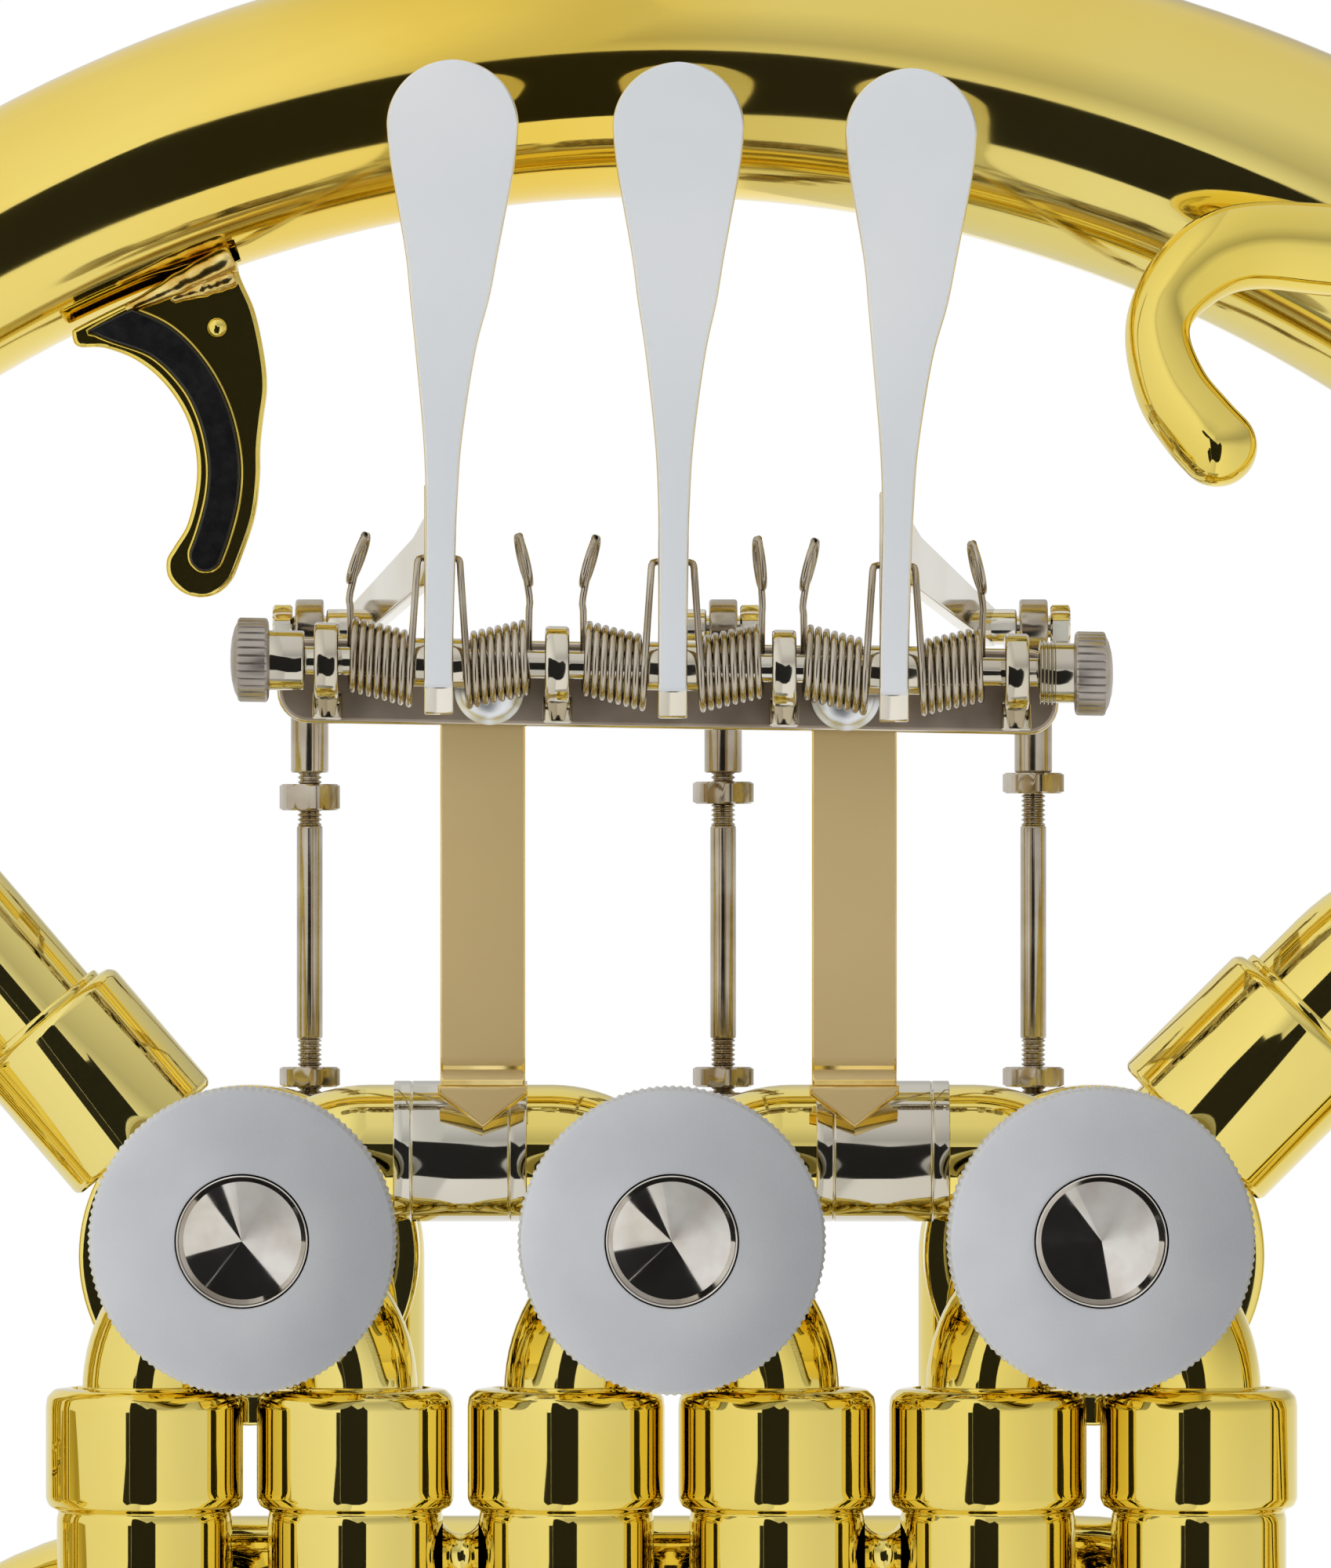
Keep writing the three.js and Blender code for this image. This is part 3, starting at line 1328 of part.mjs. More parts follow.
// The least gap of a wire to itself, measured between points that lie apart along it.
function leastGap(route, radius) {
  const points = [];
  const spacing = radius;
  for (let d = 0; d <= route.length; d += spacing) points.push(route.station(d).at);
  const skip = Math.ceil((Math.PI * coilRadius) / spacing);
  let least = Infinity;
  for (let i = 0; i < points.length; i++)
    for (let j = i + skip; j < points.length; j++) least = Math.min(least, points[i].distanceTo(points[j]));
  return least - 2 * radius;
}

function levers() {
  shankPlaces.forEach((x, index) => {
    add(`lever_${index + 1}`, lever(index), leverSilver);
    const route = springRoute(index);
    console.log(`spring_${index + 1} least gap to itself: ${leastGap(route, wireRadius).toFixed(2)} mm`);
    add(`spring_${index + 1}`, tube(route, wireRadius, null, wireSides), springSteel);
    add(`pushrod_${index + 1}`, pushrod(index), springSteel);
  });
}

// The thumb hook: a flat hook whose top follows the big tube, with a black strip on its face.
function thumbHook() {
  const at = ([across, rise]) => new THREE.Vector2(
    thumbHookX + across * thumbHookWidth,
    thumbHookZ + rise * thumbHookHeight,
  );
  const edge = thumbEdgeShares.map(at);
  const nearest = ringDepth - thumbHookDepth - thumbHookThickness;
  const seatRadius = (angle) => {
    const radius = ringTubeRadius(angle);
    return ringRadius - Math.sqrt(radius * radius - nearest * nearest) - 2 * gap;
  };
  const first = ringAngle(edge[edge.length - 1].x, edge[edge.length - 1].y);
  const last = ringAngle(edge[0].x, edge[0].y);
  const seat = [];
  for (let i = 0; i <= rodSides; i++) {
    const angle = first + ((last - first) * i) / rodSides;
    const point = aim(angle).multiplyScalar(seatRadius(angle)).add(ringCentre);
    seat.push(new THREE.Vector2(point.x, point.z));
  }
  const reach = seatRadius(last) - gap;
  const trimmed = edge.filter((p) => Math.hypot(p.x - ringCentreX, p.y - ringCentreZ) < reach);
  const shape = new THREE.Shape([...trimmed, ...seat]);
  add("thumb_hook", plateFacing(shape, thumbHookDepth, thumbHookThickness, 1), goldLacquer);
  const middle = new THREE.SplineCurve(thumbInlayShares.map(at));
  const leftEdge = [];
  const rightEdge = [];
  for (let i = 0; i <= inlaySteps; i++) {
    const point = middle.getPointAt(i / inlaySteps);
    const tangent = middle.getTangentAt(i / inlaySteps);
    const across = new THREE.Vector2(-tangent.y, tangent.x).multiplyScalar(thumbInlayWidth / 2);
    leftEdge.push(point.clone().add(across));
    rightEdge.unshift(point.clone().sub(across));
  }
  const strip = new THREE.Shape([...leftEdge, ...rightEdge]);
  const face = thumbHookDepth - gap - thumbInlayThickness;
  add("thumb_hook_inlay", plateFacing(strip, face, thumbInlayThickness, 1), blackInlay);
}

// The finger hook: a round bar that stands on the big tube and curls down.
function pinkyHook() {
  const footDepth = ringFront(pinkyFootX, pinkyHeight, pinkyFootRadius) + pinkyFootSeat;
  const route = new Route(spot(pinkyFootX, footDepth, pinkyHeight), front);
  route.ahead(footDepth - pinkyBarDepth - pinkyFootTurn);
  route.turn(pinkyFootTurn, 90, down);
  route.ahead(route.at.x - pinkyTurnX);
  route.turn(pinkyTurn, pinkyTurnAngle, counterclockwise);
  route.ahead(pinkyTail);
  const profile = [
    [0, pinkyFootRadius],
    [pinkyFootThickness, pinkyFootRadius],
    [pinkyFootThickness, pinkyBarRadius],
    [route.length - pinkyTail, pinkyBarRadius],
    [route.length - pinkyEndRadius / 2, pinkyEndRadius],
    [route.length, pinkyEndRadius / 2],
  ];
  add("pinky_hook", tube(route, profile, null, rodSides), goldLacquer);
}

// Stays from the first branch to the big tube, and from the first branch to the bell's neck.
function stays() {
  const stayDrop = ringCentreZ - ringStayZ;
  const angle = -Math.asin(stayDrop / ringRadius) / radians(1);
  const share = ease(angle / ringEndAngle);
  const innerRadius = ringRadius - ringTuck * share - ringTubeRadius(angle);
  const chordRise = ringRadius * (1 - Math.cos(radians(ringStep / 2)));
  const ringInner = ringCentreX + Math.sqrt(innerRadius ** 2 - (stayDrop + ringStayRadius) ** 2) - chordRise;
  const depth = ringDepth + ringDrop * share;
  const from = branchSideX + branchRadius + gap;
  const sideStay = ringPiece(ringStayRadius, 0, from, ringInner - gap, rodSides);
  add("branch_stay", along(sideStay, spot(0, depth, ringStayZ), right), goldLacquer);
  const fromRim = bellLength - bellRimDepth - (bellX - bellStayX);
  const bellTop = bellZ + flareAt(fromRim) + gap;
  const branchBottom = branchLowZ - ringStartRadius - gap;
  const bellStay = ringPiece(ringStayRadius, 0, bellTop, branchBottom, rodSides);
  add("bell_stay", along(bellStay, spot(bellStayX, branchBackDepth, 0), up), goldLacquer);
}

valves();
valveFerrules();
valveSlides();
bellBranch();
bell();
firstBranch();
leadpipe();
mouthEnd();
inletTube();
tuningSlide();
carriage();
axle();
straps();
levers();
thumbHook();
pinkyHook();
stays();

// Turns the horn so that its bell looks down, and sets its foot in the middle of the ground.
horn.rotation.y = -Math.PI / 2;
horn.updateMatrixWorld(true);
const box = new THREE.Box3().setFromObject(horn, true);
const middle = box.getCenter(new THREE.Vector3());
horn.position.set(-middle.x, -middle.y, -box.min.z);

export default horn;
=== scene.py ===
# %% [markdown]
# A French horn, seen from the side of its three rotary valves.
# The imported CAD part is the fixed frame: each new piece below takes the place of one of its
# nodes, rides on the same body, and so moves with the same joint. Lengths are in millimetres
# and turn into metres only where a mesh is made.

# %% Load the frame
import math

import bpy
import numpy as np
from mathutils import Matrix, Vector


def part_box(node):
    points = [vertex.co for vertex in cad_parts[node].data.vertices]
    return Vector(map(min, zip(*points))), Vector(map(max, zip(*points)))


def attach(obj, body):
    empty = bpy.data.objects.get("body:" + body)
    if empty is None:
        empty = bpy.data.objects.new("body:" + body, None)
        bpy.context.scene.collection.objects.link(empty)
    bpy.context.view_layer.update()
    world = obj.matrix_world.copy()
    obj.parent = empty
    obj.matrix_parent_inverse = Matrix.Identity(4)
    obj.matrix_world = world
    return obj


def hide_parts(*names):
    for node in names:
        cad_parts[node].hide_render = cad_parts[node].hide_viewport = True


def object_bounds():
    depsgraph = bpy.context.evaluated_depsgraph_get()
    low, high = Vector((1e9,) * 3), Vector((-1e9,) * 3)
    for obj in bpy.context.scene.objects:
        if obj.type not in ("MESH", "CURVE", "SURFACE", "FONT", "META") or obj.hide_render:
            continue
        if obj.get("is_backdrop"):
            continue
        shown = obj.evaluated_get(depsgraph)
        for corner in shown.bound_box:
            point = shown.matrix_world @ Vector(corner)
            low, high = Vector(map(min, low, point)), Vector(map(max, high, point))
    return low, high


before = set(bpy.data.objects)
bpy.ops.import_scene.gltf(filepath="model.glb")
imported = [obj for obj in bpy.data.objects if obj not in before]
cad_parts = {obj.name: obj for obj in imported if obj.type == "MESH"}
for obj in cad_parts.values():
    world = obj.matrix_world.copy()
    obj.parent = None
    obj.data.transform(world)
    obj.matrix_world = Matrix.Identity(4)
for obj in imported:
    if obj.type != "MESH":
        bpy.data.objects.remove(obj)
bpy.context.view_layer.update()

# %% [markdown]
# The horn stands on the rim of its bell, but the photograph shows it lying on its side. It is
# easier to build in the directions of the photograph: right, deep (away from the viewer) and up,
# in millimetres from the centre of the middle valve. One function carries such points into the
# frame. The middle valve's cap says where the frame has that centre.

# %% Horn directions
MM = 0.001
cap_face = -28
low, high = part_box("valve_2_cap")
home = np.array([(low.x + high.x) / 2, low.y - cap_face * MM, (low.z + high.z) / 2])
right, deep, up = np.eye(3)
left, front, down = -right, -deep, -up


def placed(points):
    """Millimetres right, deep and up become metres: x = -up, y = deep, z = right, from home."""
    points = np.asarray(points, float)
    return home + MM * np.stack([-points[..., 2], points[..., 1], points[..., 0]], axis=-1)


def unit(vectors):
    """A vector, or each of many, divided by its length."""
    vectors = np.asarray(vectors, float)
    return vectors / np.linalg.norm(vectors, axis=-1, keepdims=True)


def aim(degrees):
    """The direction in the picture at an angle from the right: cos(angle) right + sin(angle) up."""
    angle = np.radians(degrees)
    return np.cos(angle)[..., None] * right + np.sin(angle)[..., None] * up


def spot(x, y, z):
    """A point, or a step, so many millimetres right, deep and up."""
    return np.array([x, y, z], float)


def ease(share):
    """3 s^2 - 2 s^3: goes from 0 to 1 with a level start and end."""
    return share * share * (3 - 2 * share)


print("middle valve at", np.round(home, 4), "m")

# %% [markdown]
# Every piece of a horn is a tube, a turned part or a plate, so each mesh here is a grid: rows
# along the piece and columns round it. Blender's own primitives would do for a rod, but a grid
# worked out with numpy also bends, tapers and rounds its edges. A closed grid can be wound either
# way round, so its volume is measured, and if that is negative the faces are turned outwards.

# %% Grids into closed shells
def shell(grid, ring=False, flat_ends=False):
    """Quads join point (row, column) to the next row and the next column, which wraps round.
    With ring the last row meets the first; otherwise each end closes on its middle point, or
    with flat_ends on one flat face."""
    rows, columns = grid.shape[:2]
    index = np.arange(rows * columns).reshape(rows, columns)
    here = index if ring else index[:-1]
    ahead = np.roll(index, -1, axis=0) if ring else index[1:]
    quads = np.stack([here, np.roll(here, -1, 1), np.roll(ahead, -1, 1), ahead], -1).reshape(-1, 4)
    points = grid.reshape(-1, 3)
    thirds, ends = np.zeros((0, 3), int), []
    if not ring and flat_ends:
        ends = [index[0, ::-1], index[-1]]
    elif not ring:
        first, last = rows * columns, rows * columns + 1
        points = np.vstack([points, grid[0].mean(0), grid[-1].mean(0)])
        start, stop = index[0], index[-1]
        thirds = np.vstack([
            np.stack([np.full(columns, first), np.roll(start, -1), start], -1),
            np.stack([np.full(columns, last), stop, np.roll(stop, -1)], -1),
        ])
    fans = [np.stack([np.full(len(e) - 2, e[0]), e[1:-1], e[2:]], -1) for e in ends]
    flat = np.vstack([quads[:, :3], quads[:, [0, 2, 3]], thirds] + fans)
    a, b, c = (points[flat[:, i]] - points[0] for i in range(3))
    faces = [quads, thirds] + [e[None] for e in ends]
    if np.einsum("ij,ij->", a, np.cross(b, c)) < 0:
        faces = [f[:, ::-1] for f in faces]
    return points, faces


def read(items, name, kind, width=1):
    """One property of all vertices, edges, faces or loops; a vector has a width of 3."""
    values = np.empty(width * len(items), kind)
    items.foreach_get(name, values)
    return values


def mesh_of(name, shells, crease=34):
    """All shells in one mesh, smooth-shaded. Edges sharper than crease degrees stay crisp, and so
    does the border of every many-sided face, or its shading would bleed over the flat."""
    points, faces, count = [], [], 0
    for shell_points, shell_faces in shells:
        points.append(placed(shell_points))
        faces += [face for group in shell_faces for face in (group + count).tolist()]
        count += len(shell_points)
    mesh = bpy.data.meshes.new(name)
    mesh.from_pydata(np.vstack(points).tolist(), [], faces)
    mesh.shade_smooth()
    mesh.set_sharp_from_angle(angle=math.radians(crease))
    sides, edges = read(mesh.polygons, "loop_total", int), read(mesh.loops, "edge_index", int)
    sharp = read(mesh.edges, "use_edge_sharp", bool)
    sharp[edges[np.repeat(sides > 4, sides)]] = True
    mesh.edges.foreach_set("use_edge_sharp", sharp)
    return mesh


made = {}


def new_object(name, data):
    """A new object with this data, linked into the scene."""
    item = bpy.data.objects.new(name, data)
    bpy.context.scene.collection.objects.link(item)
    return item


def piece(name, shells, finish, body="horn", stands_for=(), crease=34):
    """A finished piece: its mesh, its finish, the body it rides on and the nodes it replaces."""
    mesh = mesh_of(name, shells, crease)
    mesh.materials.append(finish["material"])
    item = new_object(name, mesh)
    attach(item, body)
    if stands_for:
        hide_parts(*stands_for)
    made[name] = len(mesh.polygons)
    return item


def burnish(item, finish, least=0.96):
    """Faces that turn away from the front and the back, |normal along Y| < least, get a second
    finish."""
    mesh = item.data
    mesh.materials.append(finish["material"])
    normals = read(mesh.polygons, "normal", float, 3).reshape(-1, 3)
    turned_away = np.abs(normals[:, 1]) < least
    mesh.polygons.foreach_set("material_index", turned_away.astype(int))


# %% [markdown]
# A lathe gives caps, ferrules, knobs and screws. Their corners catch the light in the photograph,
# so each corner of a profile is first rounded with a small curve, as a file or a buffing wheel
# leaves it.

# %% Turned parts
fillet_steps = 4


def eased(corners, radius, closed=False):
    """Each corner c becomes the curve (1-t)^2 a + 2 t (1-t) c + t^2 b, where a and b lie on the
    two edges at the radius from c, or at less than half of a short edge."""
    corners = np.asarray(corners, float)
    before, after = np.roll(corners, 1, 0) - corners, np.roll(corners, -1, 0) - corners
    reach = [np.linalg.norm(edge, axis=1, keepdims=True) for edge in (before, after)]
    cut = np.minimum(radius, 0.45 * np.minimum(*reach))
    a, b = corners + before / reach[0] * cut, corners + after / reach[1] * cut
    t = np.linspace(0, 1, fillet_steps)[None, :, None]
    curves = (1 - t) ** 2 * a[:, None] + 2 * t * (1 - t) * corners[:, None] + t * t * b[:, None]
    if closed:
        return curves.reshape(-1, corners.shape[1])
    return np.vstack([corners[:1], curves[1:-1].reshape(-1, corners.shape[1]), corners[-1:]])


def spokes(axis):
    """Two directions square to an axis and to each other, for one axis or for many."""
    axis = unit(axis)
    side = unit(np.cross(axis, spot(1, 1, 1)))
    return side, np.cross(axis, side)


def turned(profile, start, axis, sides=64, ring=False, wave=0):
    """Profile point (radius r, place s) at angle v lies at start + s axis + r (cos v side + sin v
    across). wave is added to r and may differ along rows and round columns."""
    profile = np.asarray(profile, float)
    axis = unit(axis)
    side, across = spokes(axis)
    v = np.linspace(0, 2 * np.pi, sides, endpoint=False)[:, None]
    ring_points = np.cos(v) * side + np.sin(v) * across
    radius = profile[:, :1] + wave
    grid = start + profile[:, 1, None, None] * axis
    grid = grid + np.broadcast_to(radius, (len(profile), sides))[..., None] * ring_points
    return shell(grid, ring)


def hollow(profile, soft, start, axis, sides=64):
    """A turned part with a bore: its profile is closed, and every corner is eased by soft."""
    return turned(eased(profile, soft, closed=True), start, axis, sides, ring=True)


def collar(outer, inner, first, last, start, axis, sides=64, soft=0.3):
    """A ring between two radii and two places along an axis, with rounded edges."""
    profile = [[inner, first], [outer, first], [outer, last], [inner, last]]
    return hollow(profile, soft, start, axis, sides)


def rod(radius, first, last, start, axis, sides=32, soft=0.25):
    """A round bar with softened ends."""
    profile = [[radius * 0.02, first], [radius, first], [radius, last], [radius * 0.02, last]]
    return turned(eased(profile, soft), start, axis, sides)


# %% [markdown]
# Brass tube is bent round formers: straight, then a bend of one radius, then straight again. A
# Blender curve with a bevel would follow a spline of its own, so the path is laid down here piece
# by piece as the pipe is bent, and a ring of points is carried along it.

# %% Bent tubes
bend_step = 4


class Path:
    """A line that knows where it is and where it heads."""

    def __init__(self, start, heading):
        self.points = [np.asarray(start, float)[None]]
        self.heading = unit(heading)

    @property
    def at(self):
        """The point reached so far."""
        return self.points[-1][-1]

    def ahead(self, distance):
        """Straight on: at + distance heading."""
        self.points.append((self.at + self.heading * distance)[None])
        return self

    def turn(self, radius, degrees, axis):
        """The spoke from the centre turns about the axis: cos(a) spoke + sin(a) axis x spoke."""
        axis = unit(axis)
        centre = self.at + np.cross(axis, self.heading) * radius * np.sign(degrees)
        spoke = self.at - centre
        a = np.radians(np.linspace(0, degrees, max(2, round(abs(degrees) / bend_step) + 1))[1:, None])
        self.points.append(centre + np.cos(a) * spoke + np.sin(a) * np.cross(axis, spoke))
        self.heading = np.cos(a[-1]) * self.heading + np.sin(a[-1]) * np.cross(axis, self.heading)
        return self

    def sweep(self, radius, degrees, shift=0):
        """A bend in the picture plane, counterclockwise if positive, that eases deeper by shift."""
        heading = np.degrees(np.arctan2(self.heading[2], self.heading[0]))
        angle = heading - 90 if degrees > 0 else heading + 90
        centre = self.at - aim(angle) * radius
        share = np.linspace(0, 1, max(2, round(abs(degrees) / bend_step) + 1))[1:]
        eased_in = shift * ease(share)[:, None] * deep
        self.points.append(centre + radius * aim(angle + degrees * share) + eased_in)
        self.heading = aim(heading + degrees)
        return self

    def glide(self, end, heading, pull):
        """A cubic curve to an end point, leaving and arriving along the two headings."""
        a, d = self.at, np.asarray(end, float)
        b, c = a + self.heading * pull, d - unit(heading) * pull
        t = np.linspace(0, 1, 25)[1:, None]
        near_start = (1 - t) ** 3 * a + 3 * t * (1 - t) ** 2 * b
        self.points.append(near_start + 3 * t * t * (1 - t) * c + t ** 3 * d)
        self.heading = unit(heading)
        return self

    def line(self):
        """All its points, one to a row."""
        return np.vstack(self.points)


def places(line):
    """The distance of each point from the start of a line."""
    return np.concatenate([[0], np.cumsum(np.linalg.norm(np.diff(line, axis=0), axis=1))])


def tube(line, radius, sides=48, wall=0, soft=0):
    """At each point of the line a ring, centre + r (cos v side + sin v across), square to the
    line. A wall adds the bore, wound back inside; without one the ends are closed, and soft
    rounds them."""
    steps = np.diff(line, axis=0)
    heading = unit(np.vstack([steps[:1], steps[1:] + steps[:-1], steps[-1:]]))
    radius = np.broadcast_to(np.asarray(radius, float), len(line))
    if soft:
        rows = 5
        a = np.linspace(0, np.pi / 2, rows)[:-1]
        first = line[0] - heading[0] * soft * np.cos(a)[:, None] + heading[0] * soft
        last = line[-1] + heading[-1] * soft * np.cos(a[::-1])[:, None] - heading[-1] * soft
        line = np.vstack([first, line[0] + heading[0] * soft, line[1:-1],
                          line[-1] - heading[-1] * soft, last])
        heading = np.vstack([np.tile(heading[0], (rows, 1)), heading[1:-1],
                             np.tile(heading[-1], (rows, 1))])
        cut = soft * (1 - np.sin(a))
        radius = np.concatenate([radius[0] - cut, radius, radius[-1] - cut[::-1]])
    side, across = spokes(heading)
    v = np.linspace(0, 2 * np.pi, sides, endpoint=False)[None, :, None]
    spoke = np.cos(v) * side[:, None] + np.sin(v) * across[:, None]
    outer = line[:, None] + radius[:, None, None] * spoke
    if not wall:
        return shell(outer)
    inner = line[:, None] + (radius - wall)[:, None, None] * spoke
    return shell(np.vstack([outer, inner[::-1]]), ring=True)


def tapered(line, first, last):
    """A radius that grows evenly along a line."""
    return np.interp(places(line), [0, places(line)[-1]], [first, last])


# %% [markdown]
# Levers, straps, hooks and the carriage are cut from sheet. Extruding a curve would leave knife
# edges, so a plate here is an outline carried through its thickness, pulled in a little at both
# faces. The rounded edge is what shows as a bright line round each lever.

# %% Plates
facing = (right, up, deep)
sideways = (deep, up, right)


def smooth(points, steps=8, closed=False):
    """A curve through all points: between p1 and p2 it is
    p1 + (p2-p0) t/2 + (p0 - 2.5 p1 + 2 p2 - p3/2) t^2 + (-p0/2 + 1.5 p1 - 1.5 p2 + p3/2) t^3."""
    points = np.asarray(points, float)
    if not closed:
        points = np.vstack([2 * points[0] - points[1], points, 2 * points[-1] - points[-2]])
    p0, p1, p2, p3 = (np.roll(points, -k, 0) for k in range(4))
    if not closed:
        p0, p1, p2, p3 = (p[:-3] for p in (p0, p1, p2, p3))
    t = np.linspace(0, 1, steps, endpoint=False)[None, :, None]
    p0, p1, p2, p3 = (p[:, None] for p in (p0, p1, p2, p3))
    curve = p1 + (p2 - p0) * t / 2 + (p0 - 2.5 * p1 + 2 * p2 - p3 / 2) * t ** 2
    curve = (curve + (-p0 / 2 + 1.5 * p1 - 1.5 * p2 + p3 / 2) * t ** 3).reshape(-1, points.shape[1])
    return curve if closed else np.vstack([curve, points[-2]])


def plate(outline, first, last, edge, basis):
    """Rows of the outline from the first face to the last: pulled in by edge (1 - sin a) and
    edge (1 - cos a) deep as the angle a goes from 0 to 90 degrees, then back at the other face."""
    outline = np.asarray(outline, float)
    along = np.roll(outline, -1, 0) - np.roll(outline, 1, 0)
    inwards = unit(np.stack([-along[:, 1], along[:, 0]], -1))
    following = np.roll(outline, -1, 0)
    area = np.sum(outline[:, 0] * following[:, 1] - following[:, 0] * outline[:, 1])
    inwards = inwards * np.sign(area)
    a = np.linspace(0, np.pi / 2, 4)
    pulled = edge * (1 - np.sin(a))
    depth = edge * (1 - np.cos(a))
    pull = np.concatenate([pulled, pulled[::-1]])[:, None, None]
    height = np.concatenate([first + depth, last - depth[::-1]])
    flat = outline + pull * inwards
    grid = flat[..., :1] * basis[0] + flat[..., 1:] * basis[1] + height[:, None, None] * basis[2]
    return shell(grid, flat_ends=True)


def arc(centre, radius, first, last, steps=12):
    """Points of a circle from one angle to another, in degrees."""
    a = np.radians(np.linspace(first, last, steps))
    return np.stack([centre[0] + radius * np.cos(a), centre[1] + radius * np.sin(a)], -1)


print("helpers ready: shell, turned, tube, plate")

# %% [markdown]
# Materials. A metal gets its look from what it mirrors, so each finish sets the colour of light
# it throws back, how sharp the picture in it is, and the faint waviness that buffing leaves. All
# patterns are noise in object space, so they sit still on the piece. Colours are written as sRGB
# hex values and turned linear by one function.

# %% Finishes
def linear(hex_colour):
    """sRGB value s to linear light: s / 12.92 when small, else ((s + 0.055) / 1.055)^2.4."""
    parts = np.array([int(hex_colour[i:i + 2], 16) for i in (1, 3, 5)]) / 255
    light = np.where(parts <= 0.04045, parts / 12.92, ((parts + 0.055) / 1.055) ** 2.4)
    return (*light.tolist(), 1)


def node(tree, kind, inputs=None, stops=None, **settings):
    """Adds a node, makes its settings, and links or sets each of its named inputs."""
    added = tree.nodes.new(kind)
    for name, value in settings.items():
        setattr(added, name, value)
    for name, value in (inputs or {}).items():
        if isinstance(value, bpy.types.NodeSocket):
            tree.links.new(value, added.inputs[name])
        else:
            added.inputs[name].default_value = value
    if stops:
        band = added.color_ramp.elements
        while len(band) < len(stops):
            band.new(1)
        for element, (place, colour) in zip(band, stops):
            element.position, element.color = place, colour
    return added


def per_metre(size_mm):
    """The scale of a noise whose grains are size_mm across, on coordinates in metres."""
    return 1 / (size_mm * MM)


def blank_material(name):
    """A new material, its node tree and its shader."""
    material = bpy.data.materials.new(name)
    material.use_nodes = True
    return material, material.node_tree, material.node_tree.nodes["Principled BSDF"]


def finish(name, slot, light, dark, patch_mm, roughness, grain_mm, bump_mm, metal=1.0):
    """A shader whose colour drifts between light and dark over patches, whose roughness varies
    with grains, and whose surface waves by bump_mm."""
    material, tree, shader = blank_material(name)
    place = node(tree, "ShaderNodeTexCoord").outputs["Object"]
    patches = node(tree, "ShaderNodeTexNoise",
                   {"Vector": place, "Scale": per_metre(patch_mm), "Detail": 3.0})
    colour = node(tree, "ShaderNodeValToRGB", {"Fac": patches.outputs["Fac"]},
                  stops=[(0.35, linear(dark)), (0.65, linear(light))])
    grains = node(tree, "ShaderNodeTexNoise",
                  {"Vector": place, "Scale": per_metre(grain_mm), "Detail": 2.0}).outputs["Fac"]
    dull = node(tree, "ShaderNodeMapRange", {"Value": grains, "From Min": 0.3, "From Max": 0.7,
                                             "To Min": roughness[0], "To Max": roughness[1]})
    bump = node(tree, "ShaderNodeBump", {"Height": grains, "Strength": 1.0, "Distance": bump_mm * MM})
    tree.links.new(colour.outputs["Color"], shader.inputs["Base Color"])
    tree.links.new(dull.outputs["Result"], shader.inputs["Roughness"])
    tree.links.new(bump.outputs["Normal"], shader.inputs["Normal"])
    shader.inputs["Metallic"].default_value = metal
    return {"material": material, "slot": slot}


# Clear gold lacquer baked over drawn yellow brass: a sharp lemon-gold mirror, deeper where the
# tubes mirror each other, with the slow waviness of buffed tube.
gold = finish("gold_lacquer_on_drawn_brass", "gold_lacquer", "#F2E088", "#ECD468",
              60, (0.025, 0.05), 14, 0.005)
# The same lacquer on the big tapered branch, laid on thicker: a richer yellow and a softer mirror.
branch_gold = finish("gold_lacquer_on_bell_branch", "gold_lacquer", "#F3E084", "#ECCB58",
                     90, (0.05, 0.09), 20, 0.006)
# Cast and soldered brass under lacquer: paler and lumpier.
solder_gold = finish("lacquered_solder", "gold_lacquer", "#EFD98E", "#C99C3C",
                     2.5, (0.12, 0.2), 1.7, 0.05)
# Nickel silver, drawn and buffed: a warm grey mirror.
nickel = finish("buffed_nickel_silver", "nickel_silver", "#D6D2C5", "#C8C0AF", 30, (0.04, 0.08), 8, 0.004)
# The middle of each cap, turned on a lathe and polished: a colder, sharper mirror.
cone_nickel = finish("turned_nickel_silver", "nickel_silver", "#E2DED8", "#CBC4BA",
                     5, (0.03, 0.07), 3, 0.002)
# Bead-blasted silver plate on the caps: an even grey sheen with a fine grain. The real grit is
# about 0.1 mm, drawn at 0.25 mm so that it shows.
satin = finish("bead_blasted_silver_plate", "satin_silver", "#E4E5E8", "#DCDEE2",
               12, (0.66, 0.72), 0.25, 0.012)
# Silver plate on the levers, rubbed to a satin: bright, cool and slightly blurred.
lever_silver = finish("rubbed_silver_plate", "lever_silver", "#FDFEFF", "#F5F8FB",
                      40, (0.8, 0.84), 30, 0.002)
# Their broken edges are left burnished, which draws a fine line round each lever.
lever_edge = finish("burnished_silver_edge", "lever_silver", "#E9E4D8", "#DCD4C2",
                    20, (0.06, 0.1), 6, 0.004)
# The carriage and its posts: the same plate, buffed to a mirror.
post_silver = finish("buffed_silver_plate", "lever_silver", "#DDD6C6", "#CFC6B2", 20, (0.05, 0.1), 6, 0.004)
# Its flat plate is only lapped, so it mirrors the springs and the room as a blur; its colour is also
# painted a darker brown-grey, a painted reflection of the springs.
lapped_silver_with_painted_reflection = finish("lapped_silver_plate", "lever_silver", "#BFB1A2", "#A39382",
                       9, (0.4, 0.55), 4, 0.004)
# The dome screws: plate buffed soft.
dome_silver = finish("buffed_screw_head", "lever_silver", "#F2F4F6", "#E4E7EA", 8, (0.3, 0.36), 4, 0.003)
# Knurled nickel silver: the lands between the grooves stay as the tool left them.
knurl_nickel = finish("knurled_nickel_silver", "nickel_silver", "#BEB7B0", "#A8A098",
                      6, (0.34, 0.44), 2, 0.006)
